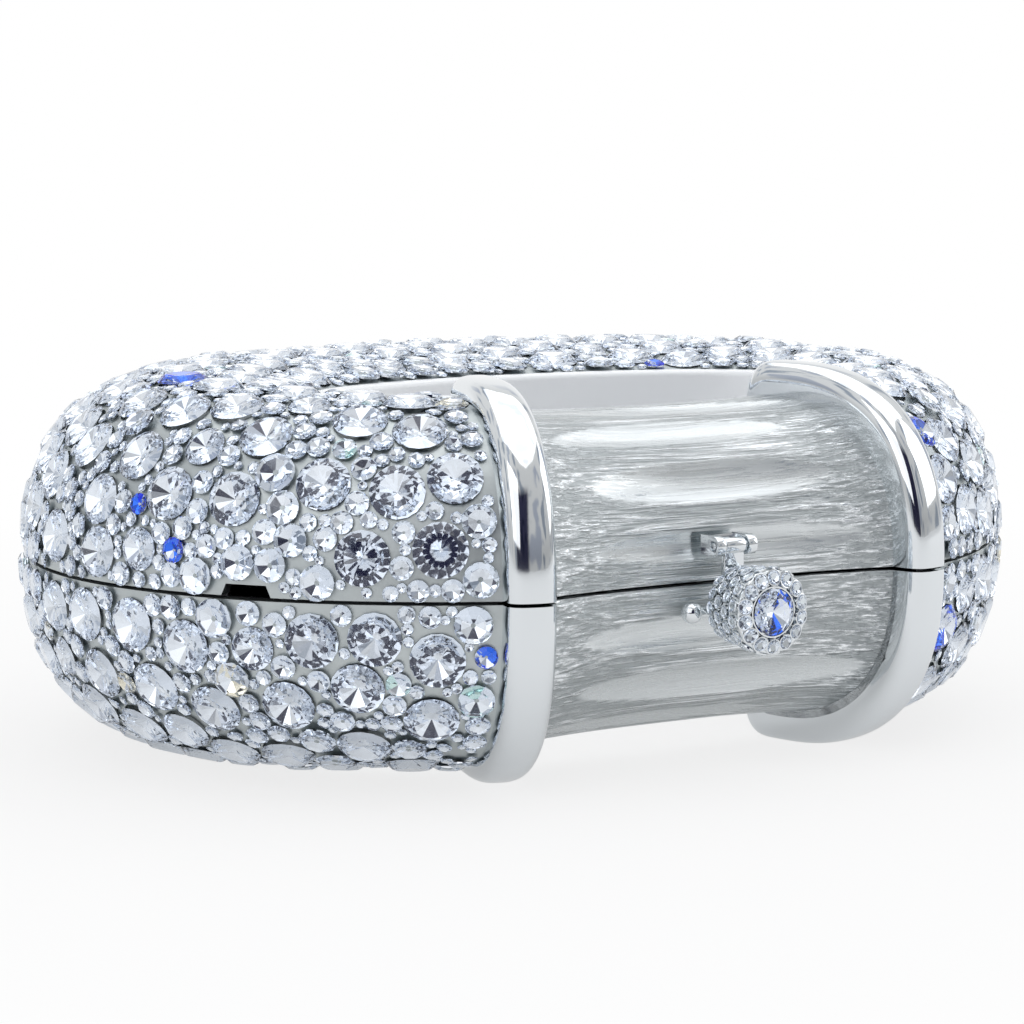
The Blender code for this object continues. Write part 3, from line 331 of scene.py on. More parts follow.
def foil(name, colour, roughness):
    """The mirror foil on a stone's back, a little darker in one stone than in the next."""
    finish, tree, shader = new_material(name)
    cloud = noise(tree, object_place(tree), 130.0, 1.0)
    tint = ramp(tree, cloud, [(0.35, tuple(0.92 * part for part in colour)), (0.65, colour)])
    tree.links.new(tint, shader.inputs["Base Color"])
    shader.inputs["Metallic"].default_value = 1.0
    shader.inputs["Roughness"].default_value = roughness
    return finish


clear_glass = glass("clear_glass", (0.95, 0.98, 1.0), 1.58)
silver_foil = foil("silver_foil", (0.90, 0.93, 0.98), 0.05)
# painted glints: foils in blue, gold and green stand in for the colours that the glass splits from the light
painted_blue_flash = foil("painted_blue_flash", (0.03, 0.17, 0.95), 0.04)
painted_gold_glint = foil("painted_gold_glint", (0.93, 0.86, 0.70), 0.04)
painted_green_glint = foil("painted_green_glint", (0.72, 0.92, 0.86), 0.04)
crystal_finishes = [clear_glass, silver_foil, painted_blue_flash, painted_gold_glint, painted_green_glint, polished_silver]
front_slot, back_slot, blue_slot, gold_slot, green_slot, rim_slot = range(len(crystal_finishes))
print("a crystal's finishes:", [finish.name for finish in crystal_finishes])

# %% [markdown]
# Inside, the case is lined with grey satin glued to the metal. Its weave is fine, so it is drawn as two crossed
# waves, with a soft sheen across them.

# %% Satin
grey_satin, tree, shader = new_material("grey_satin")
place = object_place(tree)
warp, weft = [add_node(tree, "ShaderNodeTexWave", [("Vector", place), ("Scale", 700.0), ("Distortion", 0.4)],
                       bands_direction=axis).outputs["Fac"] for axis in ("X", "Y")]
weave = combined(tree, "MULTIPLY", warp, weft)
satin_tone = ramp(tree, noise(tree, place, 60.0, 3.0), [(0.3, (0.44, 0.44, 0.47)), (0.7, (0.50, 0.50, 0.53))])
tree.links.new(satin_tone, shader.inputs["Base Color"])
shader.inputs["Roughness"].default_value = 0.55
shader.inputs["Sheen Weight"].default_value = 0.5
thread_bump = add_node(tree, "ShaderNodeBump", [("Height", weave), ("Strength", 0.3), ("Distance", 0.0001)])
tree.links.new(thread_bump.outputs[0], shader.inputs["Normal"])
print("satin:", len(tree.nodes), "nodes")

# %% [markdown]
# ## The case
#
# The case's shape follows from an oval outline, an oval hand hole and one section that is swept between them. The
# sizes and the curve are the CAD model's own, so that the fine shells here lie on its solids. A place along the
# case runs from -1 at the right collar to 1 at the left one, and a share across it from 0 at the hole's rim, over
# the crest, to 1 at the parting line.

# %% The case's sizes
case_half_width = 0.0742
case_half_depth = 0.0620
case_centre_y = 0.0337
hole_half_width = 0.0406
hole_half_depth = 0.0185
hole_centre_y = 0.0202
rear_height = 0.0254
front_height = 0.0235
fullness = 2.4
crest_share = 0.3
rear_crest, crest_change = 0.43, 0.15
rear_rim_drop, rim_drop_change = 0.11, 0.06
wall = 0.0012
seat_gap = 0.0003
half_parting = 0.00025
collar_span = 0.0320
collar_splay = math.radians(14.7)
collar_front = 0.0224
collar_rear = 0.0048
collar_height = 0.0244
bead_radius = 0.0036
print("the case is", round(2000 * case_half_width, 1), "mm wide and", round(2000 * case_half_depth, 1), "mm deep")

# %% [markdown]
# The collars stand at a slant to each other, and the oval stops where each one cuts it. That place is found from
# the collar's line and the oval's equation, so that the shells end exactly there.


# %% Where the collars cut the oval
def collar_axes(side):
    """A collar's foot at the front, its direction to the rear, and its direction away from the handle."""
    foot = Vector((side * collar_span, -collar_front, 0))
    rearward = Vector((-side * math.sin(collar_splay), math.cos(collar_splay), 0))
    outward = Vector((side * math.cos(collar_splay), math.sin(collar_splay), 0))
    return foot, rearward, outward


def meets_oval(start, heading, centre_y, half_width, half_depth):
    """The oval's angle where a line first meets it, coming from the front."""
    from_x, from_y = start.x / half_width, (start.y - centre_y) / half_depth
    step_x, step_y = heading.x / half_width, heading.y / half_depth
    square = step_x * step_x + step_y * step_y
    middle = from_x * step_x + from_y * step_y
    travel = (-middle - math.sqrt(middle * middle - square * (from_x * from_x + from_y * from_y - 1))) / square
    return math.atan2(from_y + travel * step_y, from_x + travel * step_x)


foot, rearward, outward = collar_axes(1)
case_start = foot + outward * (bead_radius + seat_gap)
outer_end = meets_oval(case_start, rearward, case_centre_y, case_half_width, case_half_depth)
inner_end = meets_oval(case_start, rearward, hole_centre_y, hole_half_width, hole_half_depth)
print("the case's ends:", round(math.degrees(outer_end), 1), round(math.degrees(inner_end), 1), "degrees")


# %% The case's plan and section
def plan_points(place):
    """The case's inner and outer edge at a place."""
    outer = math.pi / 2 + place * (math.pi / 2 - outer_end)
    inner = math.pi / 2 + place * (math.pi / 2 - inner_end)
    edge = Vector((case_half_width * math.cos(outer), case_centre_y + case_half_depth * math.sin(outer), 0))
    hole = Vector((hole_half_width * math.cos(inner), hole_centre_y + hole_half_depth * math.sin(inner), 0))
    return hole, edge


def case_shape(place):
    """Half height, crest and rim drop of the section at a place."""
    share = min(max((abs(place) - 0.25) / 0.75, 0.0), 1.0)
    forward = share * share * (3 - 2 * share)
    return (rear_height + forward * (front_height - rear_height), rear_crest - crest_change * forward,
            rear_rim_drop - rim_drop_change * forward)


def section_point(place, along):
    """Across and up in the section, for a share from the hole's rim over the crest to the parting."""
    height, crest, drop = case_shape(place)
    hole, edge = plan_points(place)
    width = (edge - hole).length
    if along < crest_share:
        share = along / crest_share
        return crest * width * share, height * (1 - drop * (1 - share) ** 2)
    turn = math.pi / 2 * (1 - along) / (1 - crest_share)
    across = crest * width + (1 - crest) * width * abs(math.cos(turn)) ** (2 / fullness)
    return across, height * abs(math.sin(turn)) ** (2 / fullness)


def skin_point(place, along):
    """A point of the upper half's skin, measured from the handle's axis."""
    across, up = section_point(place, along)
    hole, edge = plan_points(place)
    point = hole + (edge - hole).normalized() * across
    point.z = up
    return point


def skin_normal(place, along):
    """Which way the skin faces, from two short steps along it."""
    step = 0.001
    ahead = skin_point(place + step, along) - skin_point(place - step, along)
    down = skin_point(place, min(along + step, 1.0)) - skin_point(place, max(along - step, 0.0))
    return down.cross(ahead).normalized()


def to_world(point, half):
    """From the upper half's own measure to the row frame, on the upper half (1) or the lower one (-1)."""
    return handle_axis + Vector((point.x, point.y, half * point.z))


# %% [markdown]
# The section's line is moved in or out to give each shell its thickness. The rings are joined by Bridge Edge
# Loops, which is how such a swept shell is made by hand, and the two ends are filled.


# %% Shells through the section
def case_line(place, start, parts, foot_height):
    """The skin's line at a place: from a distance off the hole, over the crest, down to a foot height."""
    height, crest, drop = case_shape(place)
    hole, edge = plan_points(place)
    width = (edge - hole).length
    line = []
    for part in range(parts // 2):
        across = start + (crest * width - start) * part / (parts // 2)
        inward = 1 - across / (crest * width)
        line.append((across, height * (1 - drop * inward * inward)))
    for part in range(parts):
        across, up = section_point(place, crest_share + (1 - crest_share) * part / parts)
        if up > foot_height:
            line.append((across, up))
    full = (1 - (foot_height / height) ** fullness) ** (1 / fullness)
    return line + [(width * (crest + (1 - crest) * full), foot_height)]


def moved_in(line, depth):
    """The line moved in by a depth; its first point moves down and its last one in."""
    moved = []
    for index, (across, up) in enumerate(line):
        before, after = line[max(index - 1, 0)], line[min(index + 1, len(line) - 1)]
        run, fall = after[0] - before[0], before[1] - after[1]
        if index == 0:
            run, fall = 1.0, 0.0
        if index == len(line) - 1:
            run, fall = 0.0, 1.0
        size = math.hypot(run, fall)
        moved.append((across - fall / size * depth, up - run / size * depth))
    return moved


def ring_at(place, line, half):
    """A section's line stood up at a place along the case."""
    hole, edge = plan_points(place)
    out = (edge - hole).normalized()
    return [to_world(hole + out * across + Vector((0, 0, up)), half) for across, up in line]


def loft(rings):
    """One closed shape through a row of rings."""
    bm = bmesh.new()
    loops = []
    for ring in rings:
        verts = [bm.verts.new(point) for point in ring]
        loops.append([bm.edges.new((verts[index - 1], vert)) for index, vert in enumerate(verts)])
    for first, second in zip(loops, loops[1:]):
        bmesh.ops.bridge_loops(bm, edges=first + second)
    bmesh.ops.contextual_create(bm, geom=loops[0])
    bmesh.ops.contextual_create(bm, geom=loops[-1])
    bmesh.ops.recalc_face_normals(bm, faces=bm.faces)
    return bm


# %% [markdown]
# Every piece is finished in the same way. It gets its materials, rounded shading that stops at sharp edges, and
# the body that it moves with. Where it stands for a piece of the CAD model, that piece is hidden.


# %% Finishing a piece
def add_piece(name, bm, finishes, body, replaced=(), sharp=30.0):
    """Makes the mesh an object that rides on a body, in the place of CAD nodes."""
    mesh = bpy.data.meshes.new(name)
    bm.to_mesh(mesh)
    bm.free()
    for finish in finishes:
        mesh.materials.append(finish)
    if sharp:
        mesh.shade_smooth()
        mesh.set_sharp_from_angle(angle=math.radians(sharp))
    piece = bpy.data.objects.new(name, mesh)
    bpy.context.scene.collection.objects.link(piece)
    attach(piece, body)
    if replaced:
        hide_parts(*replaced)
    print(name, len(mesh.polygons), "faces")
    return piece


halves = {"lower": (-1, "lower_half"), "upper": (1, "lid")}
station_count = 120
past_the_ends = 1.006
stations = [(2 * index / station_count - 1) * past_the_ends for index in range(station_count + 1)]
print("shells:", len(stations), "rings each")

# %% [markdown]
# A chain would leave the clutch through a small slot in the upper half's edge, near the left collar. The CAD case
# has flat facets along its outline, and the slot is on one of them, so its middle is found between that facet's
# two ends. It is cut by a wedge with a Boolean, because its edges are crisp.

# %% The chain slot's place
slot_place = 0.814
outline_facets = 26
slot_station = (slot_place + 1) / 2 * outline_facets
slot_facet = int(slot_station)
slot_first = plan_points(2 * slot_facet / outline_facets - 1)[1]
slot_second = plan_points(2 * (slot_facet + 1) / outline_facets - 1)[1]
slot_middle = slot_first.lerp(slot_second, slot_station - slot_facet)
slot_along = (slot_second - slot_first).normalized()
slot_out = Vector((slot_along.y, -slot_along.x, 0))
slot_width = 0.0073
slot_height = 0.0016
slot_from, slot_to = -0.0045, 0.0035
print("slot:", round(1000 * slot_width, 1), "mm wide, its middle at", [round(1000 * part, 1) for part in slot_middle])


def slot_wedge(half_width, taper, below, above):
    """A wedge through the outer wall: as wide as the slot at the parting, and tapered above."""
    line = [(-half_width, -below), (half_width, -below), (half_width, half_parting), (half_width - taper, above),
            (-half_width + taper, above), (-half_width, half_parting)]
    return loft([[handle_axis + slot_middle + slot_out * reach + slot_along * aside + Vector((0, 0, up))
                  for aside, up in line] for reach in (slot_from, slot_to)])


def take_out(piece, tool_bm):
    """Cuts a shape out of a piece and applies it."""
    mesh = bpy.data.meshes.new("tool")
    tool_bm.to_mesh(mesh)
    tool_bm.free()
    tool = bpy.data.objects.new("tool", mesh)
    bpy.context.scene.collection.objects.link(tool)
    step = piece.modifiers.new("cut", "BOOLEAN")
    step.object = tool
    step.solver = "EXACT"
    bpy.context.view_layer.update()
    cut_mesh = bpy.data.meshes.new_from_object(piece.evaluated_get(bpy.context.evaluated_depsgraph_get()))
    piece.modifiers.remove(step)
    cut_mesh.shade_smooth()
    cut_mesh.set_sharp_from_angle(angle=math.radians(40.0))
    old = piece.data
    piece.data = cut_mesh
    bpy.data.meshes.remove(old)
    bpy.data.objects.remove(tool)


# %% [markdown]
# The cover is the metal that shows between the crystals. It takes the place of the CAD case, and stands a little
# over it, as far as the crystals' settings do. The hinge's leaves lie in a shallow pocket at the rear.

# %% The cover
cover_out = 0.0011
covers = {}
pocket_half_width = 0.0137
pocket_height = 0.0069
pocket_past_parting = 0.002
pocket_reach = 0.01
leaf_play = 0.00005
for word, (half, body) in halves.items():
    rings = []
    for place in stations:
        skin = case_line(place, wall + seat_gap, 14, half_parting)
        rings.append(ring_at(place, moved_in(skin, -cover_out) + moved_in(skin, wall)[::-1], half))
    cover = add_piece(f"{word}_cover", loft(rings), [cover_silver], body, [f"{word}_case"], 40.0)
    covers[word] = cover
    if half > 0:
        take_out(cover, slot_wedge(slot_width / 2, 0.0007, 0.002, half_parting + slot_height))
    rear = case_centre_y + case_half_depth + leaf_play
    outline = ((rear, -pocket_past_parting), (rear + pocket_reach, -pocket_past_parting),
               (rear + pocket_reach, pocket_height), (rear, pocket_height))
    pocket = [[handle_axis + Vector((x, y, half * z)) for y, z in outline]
              for x in (-pocket_half_width, pocket_half_width)]
    take_out(cover, loft(pocket))

# %% [markdown]
# The hole's wall is a smooth polished band, rounded over where it meets the crystals. The lining and the lip are
# swept with the same section.

# %% The hole's wall, the lining and the lip
satin_foot = 0.0046
satin_thickness = 0.0008
for word, (half, body) in halves.items():
    bands, troughs = [], []
    for place in stations:
        top = case_line(place, wall, 2, half_parting)[0][1]
        rounding = [(0.0, top + 0.0002), (0.0001, top + 0.0006), (0.0004, top + 0.0010),
                    (wall - 0.0002, top + 0.0012), (wall + seat_gap, top + 0.0011)]
        bands.append(ring_at(place, [(0.0, half_parting)] + rounding + [(wall + seat_gap, half_parting)], half))
        skin = case_line(place, wall + seat_gap, 8, satin_foot)
        near, far = moved_in(skin, wall + seat_gap), moved_in(skin, wall + seat_gap + satin_thickness)
        far[0] = (far[0][0] + satin_thickness, far[0][1])
        trough = [(near[0][0], satin_foot)] + near + far[::-1] + [(far[0][0], satin_foot)]
        troughs.append(ring_at(place, trough, half))
    add_piece(f"{word}_hole_band", loft(bands), [hole_silver], body, [f"{word}_hole_wall"], 50.0)
    add_piece(f"{word}_satin", loft(troughs), [grey_satin], body, [f"{word}_lining"], 50.0)

lip_rings = []
lip_thickness = 0.0007
lip_top = 0.0018
lip_foot = -0.0024
for place in stations:
    hole, edge = plan_points(place)
    outside = (edge - hole).length - wall - seat_gap
    lip_line = [(outside, lip_top - 0.0004), (outside - 0.0003, lip_top), (outside - lip_thickness, lip_top),
                (outside - lip_thickness, lip_foot), (outside, lip_foot)]
    lip_rings.append(ring_at(place, lip_line, 1))
lip = add_piece("lip", loft(lip_rings), [lip_painted_shade], "lower_half", ["locating_lip"], 30.0)
take_out(lip, slot_wedge(slot_width / 2 + seat_gap, 0.0, half_parting, 0.004))


# %% [markdown]
# ## The handle
#
# The handle copies a length of bamboo. Its section is a D with a full front and a nearly flat rear, and long
# lens-shaped flats are carved along it, staggered from row to row. The waist is a little thinner than the ends.


# %% D-shaped lines
front_fullness = 2.4
rear_fullness = 5.0
handle_into_bead = 0.0012


def d_line(front, rear, height, parts, cuts=None):
    """Half of a D-shaped outline, from its front edge over the top to its rear edge."""
    line = []
    for index in range(parts + 1):
        turn = math.pi * index / parts
        deep = cuts[index] if cuts else 0.0
        reach, power = (front, front_fullness) if turn < math.pi / 2 else (rear, rear_fullness)
        across = math.copysign(abs(math.cos(turn)) ** (2 / power), -math.cos(turn)) * (reach - deep)
        line.append((across, max(abs(math.sin(turn)) ** (2 / power) * (height - deep), half_parting)))
    return line


def handle_end(across):
    """How far along X the handle reaches, to go a little way into its splayed collar's bead."""
    plane = collar_span - math.tan(collar_splay) * (across + collar_front)
    return plane - (bead_radius - handle_into_bead) / math.cos(collar_splay)


# %% [markdown]
# Each flat is a shallow lens-shaped scoop: its middle along the handle and round it, its half length and its half
# width. Round the handle is measured in millimetres from the parting in front, up over the top, or down under the
# bottom. A scoop's upper side faces down and looks dark, and its lower side faces up and catches the light. It is
# as deep as its half width says, times a share, and it is counted as smooth from a little inside its edge.

# %% The carved flats
scoop_depth = 0.00030
scoop_edge = 0.12
flats = {
    "upper": ((0.02, 14.0, 0.72, 3.2), (0.07, 5.0, 0.80, 2.4), (-0.12, 22.6, 0.74, 2.6), (0.20, 30.5, 0.76, 3.0),
              (-0.16, 38.5, 0.78, 3.0), (0.10, 46.5, 0.74, 3.0), (-0.10, 54.0, 0.76, 2.6)),
    "lower": ((-0.17, 6.6, 0.60, 2.4), (0.08, 14.6, 0.86, 3.0), (-0.20, 22.8, 0.70, 2.6), (0.14, 30.5, 0.78, 3.0),
              (-0.10, 38.5, 0.76, 3.0), (0.16, 46.5, 0.74, 3.0), (-0.14, 54.0, 0.76, 2.6)),
}


def carved(word, share, girth):
    """How far inside a flat a point is, from 0 at its edge, and how deep it is carved there."""
    inside, depth = 0.0, 0.0
    for middle, around, half_length, half_width in flats[word]:
        lens = 1 - ((share - middle) / half_length) ** 2 - ((girth * 1000 - around) / half_width) ** 2
        if lens > 0:
            inside, depth = min(lens / scoop_edge, 1.0), scoop_depth * half_width * lens
    return inside, depth


# %% [markdown]
# Each half of the handle is a thin shell. Its outline is worked out once without the flats, to measure how far
# round each point is, and then again with them. The waist draws the outline in between the collars.

# %% The handle's halves
outside_parts, inside_parts = 150, 36
rings_each_way = 48
waist_front = 0.0025
waist_height = 0.0006
below_collar = 0.0012
handle_wall = 0.0015
for word, (half, body) in halves.items():
    rings, shares = [], []
    for index in range(2 * rings_each_way + 1):
        share = index / rings_each_way - 1
        waist = 1 - abs(share) ** 3
        front = collar_front - waist_front * waist
        height = collar_height - below_collar - waist_height * waist
        plain = d_line(front, collar_rear, height, outside_parts)
        girth, cuts = 0.0, [carved(word, share, 0.0)]
        for start, end in zip(plain, plain[1:]):
            girth += math.dist(start, end)
            cuts.append(carved(word, share, girth))
        outer = d_line(front, collar_rear, height, outside_parts, [depth for _, depth in cuts])
        inner = d_line(front - handle_wall, collar_rear - handle_wall, height - handle_wall, inside_parts)
        rings.append([handle_axis + Vector((share * handle_end(y), y, half * z)) for y, z in outer + inner[::-1]])
        shares += [inside for inside, _ in cuts] + [0.0] * len(inner)
    bark = loft(rings)
    layer = bark.verts.layers.float.new("flat_share")
    for vert, inside in zip(bark.verts, shares):
        vert[layer] = inside
    add_piece(f"{word}_bark", bark, [bark_silver], body, [f"{word}_handle"], 60.0)


# %% [markdown]
# ## The collars
#
# Each collar is a half-round bead that follows a D a little larger than the handle's, on a web that closes the
# end of the case. Its section starts inside on one face of the web, goes out and round the bead, and comes back on
# the other face. The web stops short of the parting line, and the bead comes down to it.


# %% The collars' halves
bead_fullness = 3.0
bead_steps = 24
web_half = 0.00075
web_edge = (-0.003, 0.003)
bead_foot = (-0.0004, 0.0)


def collar_ring(side, half, aside, out, lift):
    """The collar's outline at a distance beside its middle and out from its D, lifted off the parting line."""
    foot, rearward, outward = collar_axes(side)
    centre = handle_axis + foot + rearward * collar_front + outward * aside
    line = d_line(collar_front + out, collar_rear + out, collar_height + out, 64)
    return [centre + rearward * across + Vector((0, 0, half * max(up, half_parting + lift))) for across, up in line]


for word, (half, body) in halves.items():
    for side, name in ((-1, "left"), (1, "right")):
        web = ((web_half, web_edge), (bead_radius, web_edge), (bead_radius, bead_foot))
        rings = [collar_ring(side, half, -aside, *place) for aside, place in web]
        for step in range(bead_steps + 1):
            turn = math.pi * step / bead_steps
            aside = -math.copysign(abs(math.cos(turn)) ** (2 / bead_fullness), math.cos(turn)) * bead_radius
            out = abs(math.sin(turn)) ** (2 / bead_fullness) * bead_radius
            rings.append(collar_ring(side, half, aside, out, 0.0))
        rings += [collar_ring(side, half, aside, *place) for aside, place in web[::-1]]
        add_piece(f"{word}_{name}_bead", loft(rings), [polished_silver], body,
                  [f"{word}_{name}_collar"], 40.0)


# %% [markdown]
# ## The crystals
#
# A cutter grinds each facet flat, so each stone here is cut the same way: a round blank, and one plane after
# another that takes off what lies outside it. A large stone has a table, stars, main facets and girdle facets in
# front and sixteen narrow facets behind, which draw its spokes. A small one has six or eight plain facets on each
# side, because there are about two thousand of them. Every stone is cut at radius 1, and scaled when it is set.


# %% Cutting a stone
stone_top = 0.28
main_tilt, star_tilt, girdle_tilt = math.radians(33), math.radians(20), math.radians(41)
star_reach = 0.62
girdle_reach = 0.978
bezel_height = 0.06


def grind(bm, tilt, turn, point_out, point_up):
    """Grinds one facet: a plane that leans by tilt from level, through a point at that turn."""
    normal = Vector((math.sin(tilt) * math.cos(turn), math.sin(tilt) * math.sin(turn), math.cos(tilt)))
    point = Vector((point_out * math.cos(turn), point_out * math.sin(turn), point_up))
    parts = list(bm.verts) + list(bm.edges) + list(bm.faces)
    cut = bmesh.ops.bisect_plane(bm, geom=parts, plane_co=point, plane_no=normal, clear_outer=True, dist=1e-5)
    edges = [part for part in cut["geom_cut"] if isinstance(part, bmesh.types.BMEdge)]
    if len(edges) > 2:
        bmesh.ops.edgeloop_fill(bm, edges=edges)


def add_bezel(bm, wide, high):
    """A round metal rim about a stone of radius 1: a line of its section, spun once round."""
    line = [(1.0 + wide, -0.22), (1.0 + wide, high - 0.03), (1.0 + 0.6 * wide, high), (0.985, high - 0.01)]
    verts = [bm.verts.new((out, 0, up)) for out, up in line]
    edges = [bm.edges.new(pair) for pair in zip(verts, verts[1:])]
    before = set(bm.faces)
    bmesh.ops.spin(bm, geom=verts + edges, cent=(0, 0, 0), axis=(0, 0, 1), angle=math.tau, steps=16, use_merge=True)
    rim = [face for face in bm.faces if face not in before]
    for face in rim:
        face.material_index = rim_slot
    bmesh.ops.recalc_face_normals(bm, faces=rim)


def cut_stone(name, facets, back, bezel=0.0):
    """A stone of radius 1, its girdle at zero height and its back in foil; more than 8 facets is the full cut."""
    full = facets > 8
    bm = bmesh.new()
    bmesh.ops.create_cone(bm, cap_ends=True, segments=16 if full else 2 * facets, radius1=1.0, radius2=1.0,
                          depth=stone_top + back, matrix=Matrix.Translation((0, 0, (stone_top - back) / 2)))
    back_tilt = math.pi - math.atan(back)
    for index in range(min(facets, 8)):
        turn = math.tau / min(facets, 8) * index
        grind(bm, main_tilt, turn, 1.0, 0.03)
        if full:
            grind(bm, star_tilt, turn + math.radians(22.5), star_reach, stone_top - 0.01)
            for side in (-1, 1):
                grind(bm, girdle_tilt, turn + side * math.radians(11.25), girdle_reach, 0.0)
                grind(bm, back_tilt, turn + side * math.radians(11.25), girdle_reach, 0.0)
        else:
            grind(bm, back_tilt, turn, 1.0, -0.03)
    bmesh.ops.remove_doubles(bm, verts=bm.verts, dist=1e-4)
    bmesh.ops.recalc_face_normals(bm, faces=bm.faces)
    for face in bm.faces:
        face.material_index = back_slot if face.normal.z < 0.02 else front_slot
    if bezel:
        add_bezel(bm, bezel, bezel_height)
    mesh = bpy.data.meshes.new(name)
    bm.to_mesh(mesh)
    bm.free()
    print(name, len(mesh.polygons), "facets")
    return mesh


full_cut = cut_stone("full_cut", 16, 0.42)
small_back = 0.30
plain_cut = cut_stone("plain_cut", 8, small_back)
tiny_cut = cut_stone("tiny_cut", 6, small_back)

# %% [markdown]
# Some stones flash a colour, and the flash is painted: such a stone is a copy of the cut with a few neighbouring
# back facets in a coloured foil, a painted glint in place of the colours that the glass splits from the light.


# %% Stones that flash
def flashing(cut, name, slot, first, width):
    """A copy of a cut whose back facets in a sector, in turns, take another material."""
    mesh = cut.copy()
    mesh.name = name
    for facet in mesh.polygons:
        turn = math.atan2(facet.center.y, facet.center.x) / math.tau % 1.0
        if facet.material_index == back_slot and facet.normal.z < -0.5 and (turn - first) % 1.0 < width:
            facet.material_index = slot
    return mesh


blue_cut = flashing(full_cut, "blue_cut", blue_slot, 0.0, 0.35)
small_blue = flashing(plain_cut, "small_blue", blue_slot, 0.0, 0.6)
small_gold = flashing(plain_cut, "small_gold", gold_slot, 0.0, 0.3)
small_green = flashing(plain_cut, "small_green", green_slot, 0.0, 0.3)
clear_cuts = 30
small_cuts = [plain_cut] * clear_cuts + [small_gold, small_green]
print("chance of a gold or green flash:", round(2 / len(small_cuts), 3))

# %% [markdown]
# The large crystals' places come from the CAD model itself. Each crystal there stands on the cell between its
# neighbours, and its flat table is the only kind of face whose edges all bend away from it. The table's centre and
# normal say where the stone is and how it faces, and the nearest table says how large a round stone can be.


# %% Reading the large crystals' places
near_parting = 0.002
least_reach = 0.0011


def stone_tables(node, single):
    """The centre and normal of each crystal's table on a CAD node; a single crystal's is its lowest face."""
    bm = bmesh.new()
    bm.from_mesh(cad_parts[node].data)
    bmesh.ops.remove_doubles(bm, verts=bm.verts, dist=2e-6)
    bmesh.ops.dissolve_limit(bm, angle_limit=math.radians(1.0), verts=bm.verts, edges=bm.edges)
    bmesh.ops.recalc_face_normals(bm, faces=bm.faces)
    found = []
    for face in bm.faces:
        centre = face.calc_center_median()
        reach = [(edge.verts[0].co + edge.verts[1].co) / 2 - centre for edge in face.edges]
        at_parting = abs(centre.z - handle_axis.z) < near_parting
        if single or (len(face.edges) > 3 and not at_parting and min(side.length for side in reach) > least_reach
                      and all(edge.is_convex for edge in face.edges)):
            found.append((centre, face.normal.copy()))
    bm.free()
    return [min(found, key=lambda seat: seat[0].z)] if single else found


large_seats = {"lower": stone_tables("lower_crystals", False), "upper": stone_tables("upper_crystals", False)}
for index in range(1, 6):
    large_seats["lower"] += stone_tables(f"rest_crystal_{index}", True)
print({word: len(seats) for word, seats in large_seats.items()}, "large crystals")


# %% [markdown]
# A round stone's radius can't be more than half the way to its nearest neighbour. A few are a size smaller, as in
# any hand-set piece. Beside the hinge's leaves a stone is held to the room that they leave, or left out.

# %% Round stones for those places
leaf_half_width, leaf_height = 0.0136, 0.0065
large_radius = 0.0038
least_large, reduced_from, reduced_chance, reduced_share = 0.002, 0.0034, 0.10, 0.80
table_out = 0.0026
girdle_out = 0.00135
large_stones = {}


def clears_hinge(point):
    """How large a stone can be beside the hinge's leaves, at the rear."""
    if point.y <= case_centre_y:
        return 1.0
    return max(abs(point.x) - leaf_half_width, abs(point.z) - leaf_height)


for word, seats in large_seats.items():
    chance = random.Random(len(seats))
    stones = []
    girdles = [table - normal * (table_out - girdle_out) for table, normal in seats]
    for index, (table, normal) in enumerate(seats):
        nearest = min((girdles[index] - other).length for step, other in enumerate(girdles) if step != index)
        radius = min(nearest / 2 * 0.995, large_radius)
        seat = table - normal * table_out
        if radius > reduced_from and chance.random() < reduced_chance:
            radius *= reduced_share
        radius = min(radius, clears_hinge(seat - handle_axis))
        if radius > least_large:
            stones.append((seat, normal, radius))
    large_stones[word] = stones
print("radii in mm:", sorted(round(radius * 1000, 1) for _, _, radius in large_stones["upper"])[::20])

# %% [markdown]
# A large crystal sits in a drilled seat, so its girdle is level with the metal and its back is below it. All the
# seats of one cover are cut in one step, by one mesh of short cylinders.

# %% Drilling the seats
drill_share, drill_depth, drill_over, drill_sides = 0.97, 0.0035, 0.0002, 20
for word, cover in covers.items():
    drills = bmesh.new()
    for seat, normal, radius in large_stones[word]:
        turn = normal.to_track_quat("Z", "Y").to_matrix().to_4x4()
        place = Matrix.Translation(seat + normal * (cover_out + drill_over)) @ turn
        bmesh.ops.create_cone(drills, cap_ends=True, segments=drill_sides, radius1=drill_share * radius,
                              radius2=drill_share * radius, depth=drill_depth, matrix=place)
    take_out(cover, drills)
    print(word, "cover with seats:", len(cover.data.polygons), "faces")

# %% [markdown]
# The small crystals fill what is left, as a setter would: each goes where it touches two stones that are already
# there, and takes the size that fits. Many places are thrown over the skin first, and for each the clearance to
# its two nearest stones is kept up to date, so the next place to fill is the one with the least room to spare.
# Each size is a least and a greatest radius, and the most stones that may have it. The largest size comes first.

# %% Filling in with small crystals
small_sizes = ((0.0021, 0.0026, 80), (0.00135, 0.0016, 1500), (0.00095, 0.00115, 1500), (0.00058, 0.00085, 1800))
candidate_count = 60000
least_room = 0.0007
rim_play, parting_play, slot_play, slot_aside = 0.0001, 0.00005, 0.0006, 0.0006
no_place = 1.0


def clears_edges(site, point, half):
    """How large a stone can be here: clear of the hole's rim, the parting, the collars, the slot and the hinge."""
    foot, rearward, outward = collar_axes(math.copysign(1, point.x))
    room = [section_point(*site)[0] - wall - seat_gap - rim_play, point.z - half_parting - parting_play]
    if point.y < case_centre_y:
        room.append((point - foot).dot(outward) - bead_radius - seat_gap - rim_play)
        if half > 0 and point.x < 0:
            aside = abs((point - slot_middle).dot(slot_along) - slot_aside) - slot_width / 2 - slot_play
            room.append(max(aside, point.z - half_parting - slot_height - slot_play))
    return min(room + [clears_hinge(point)])


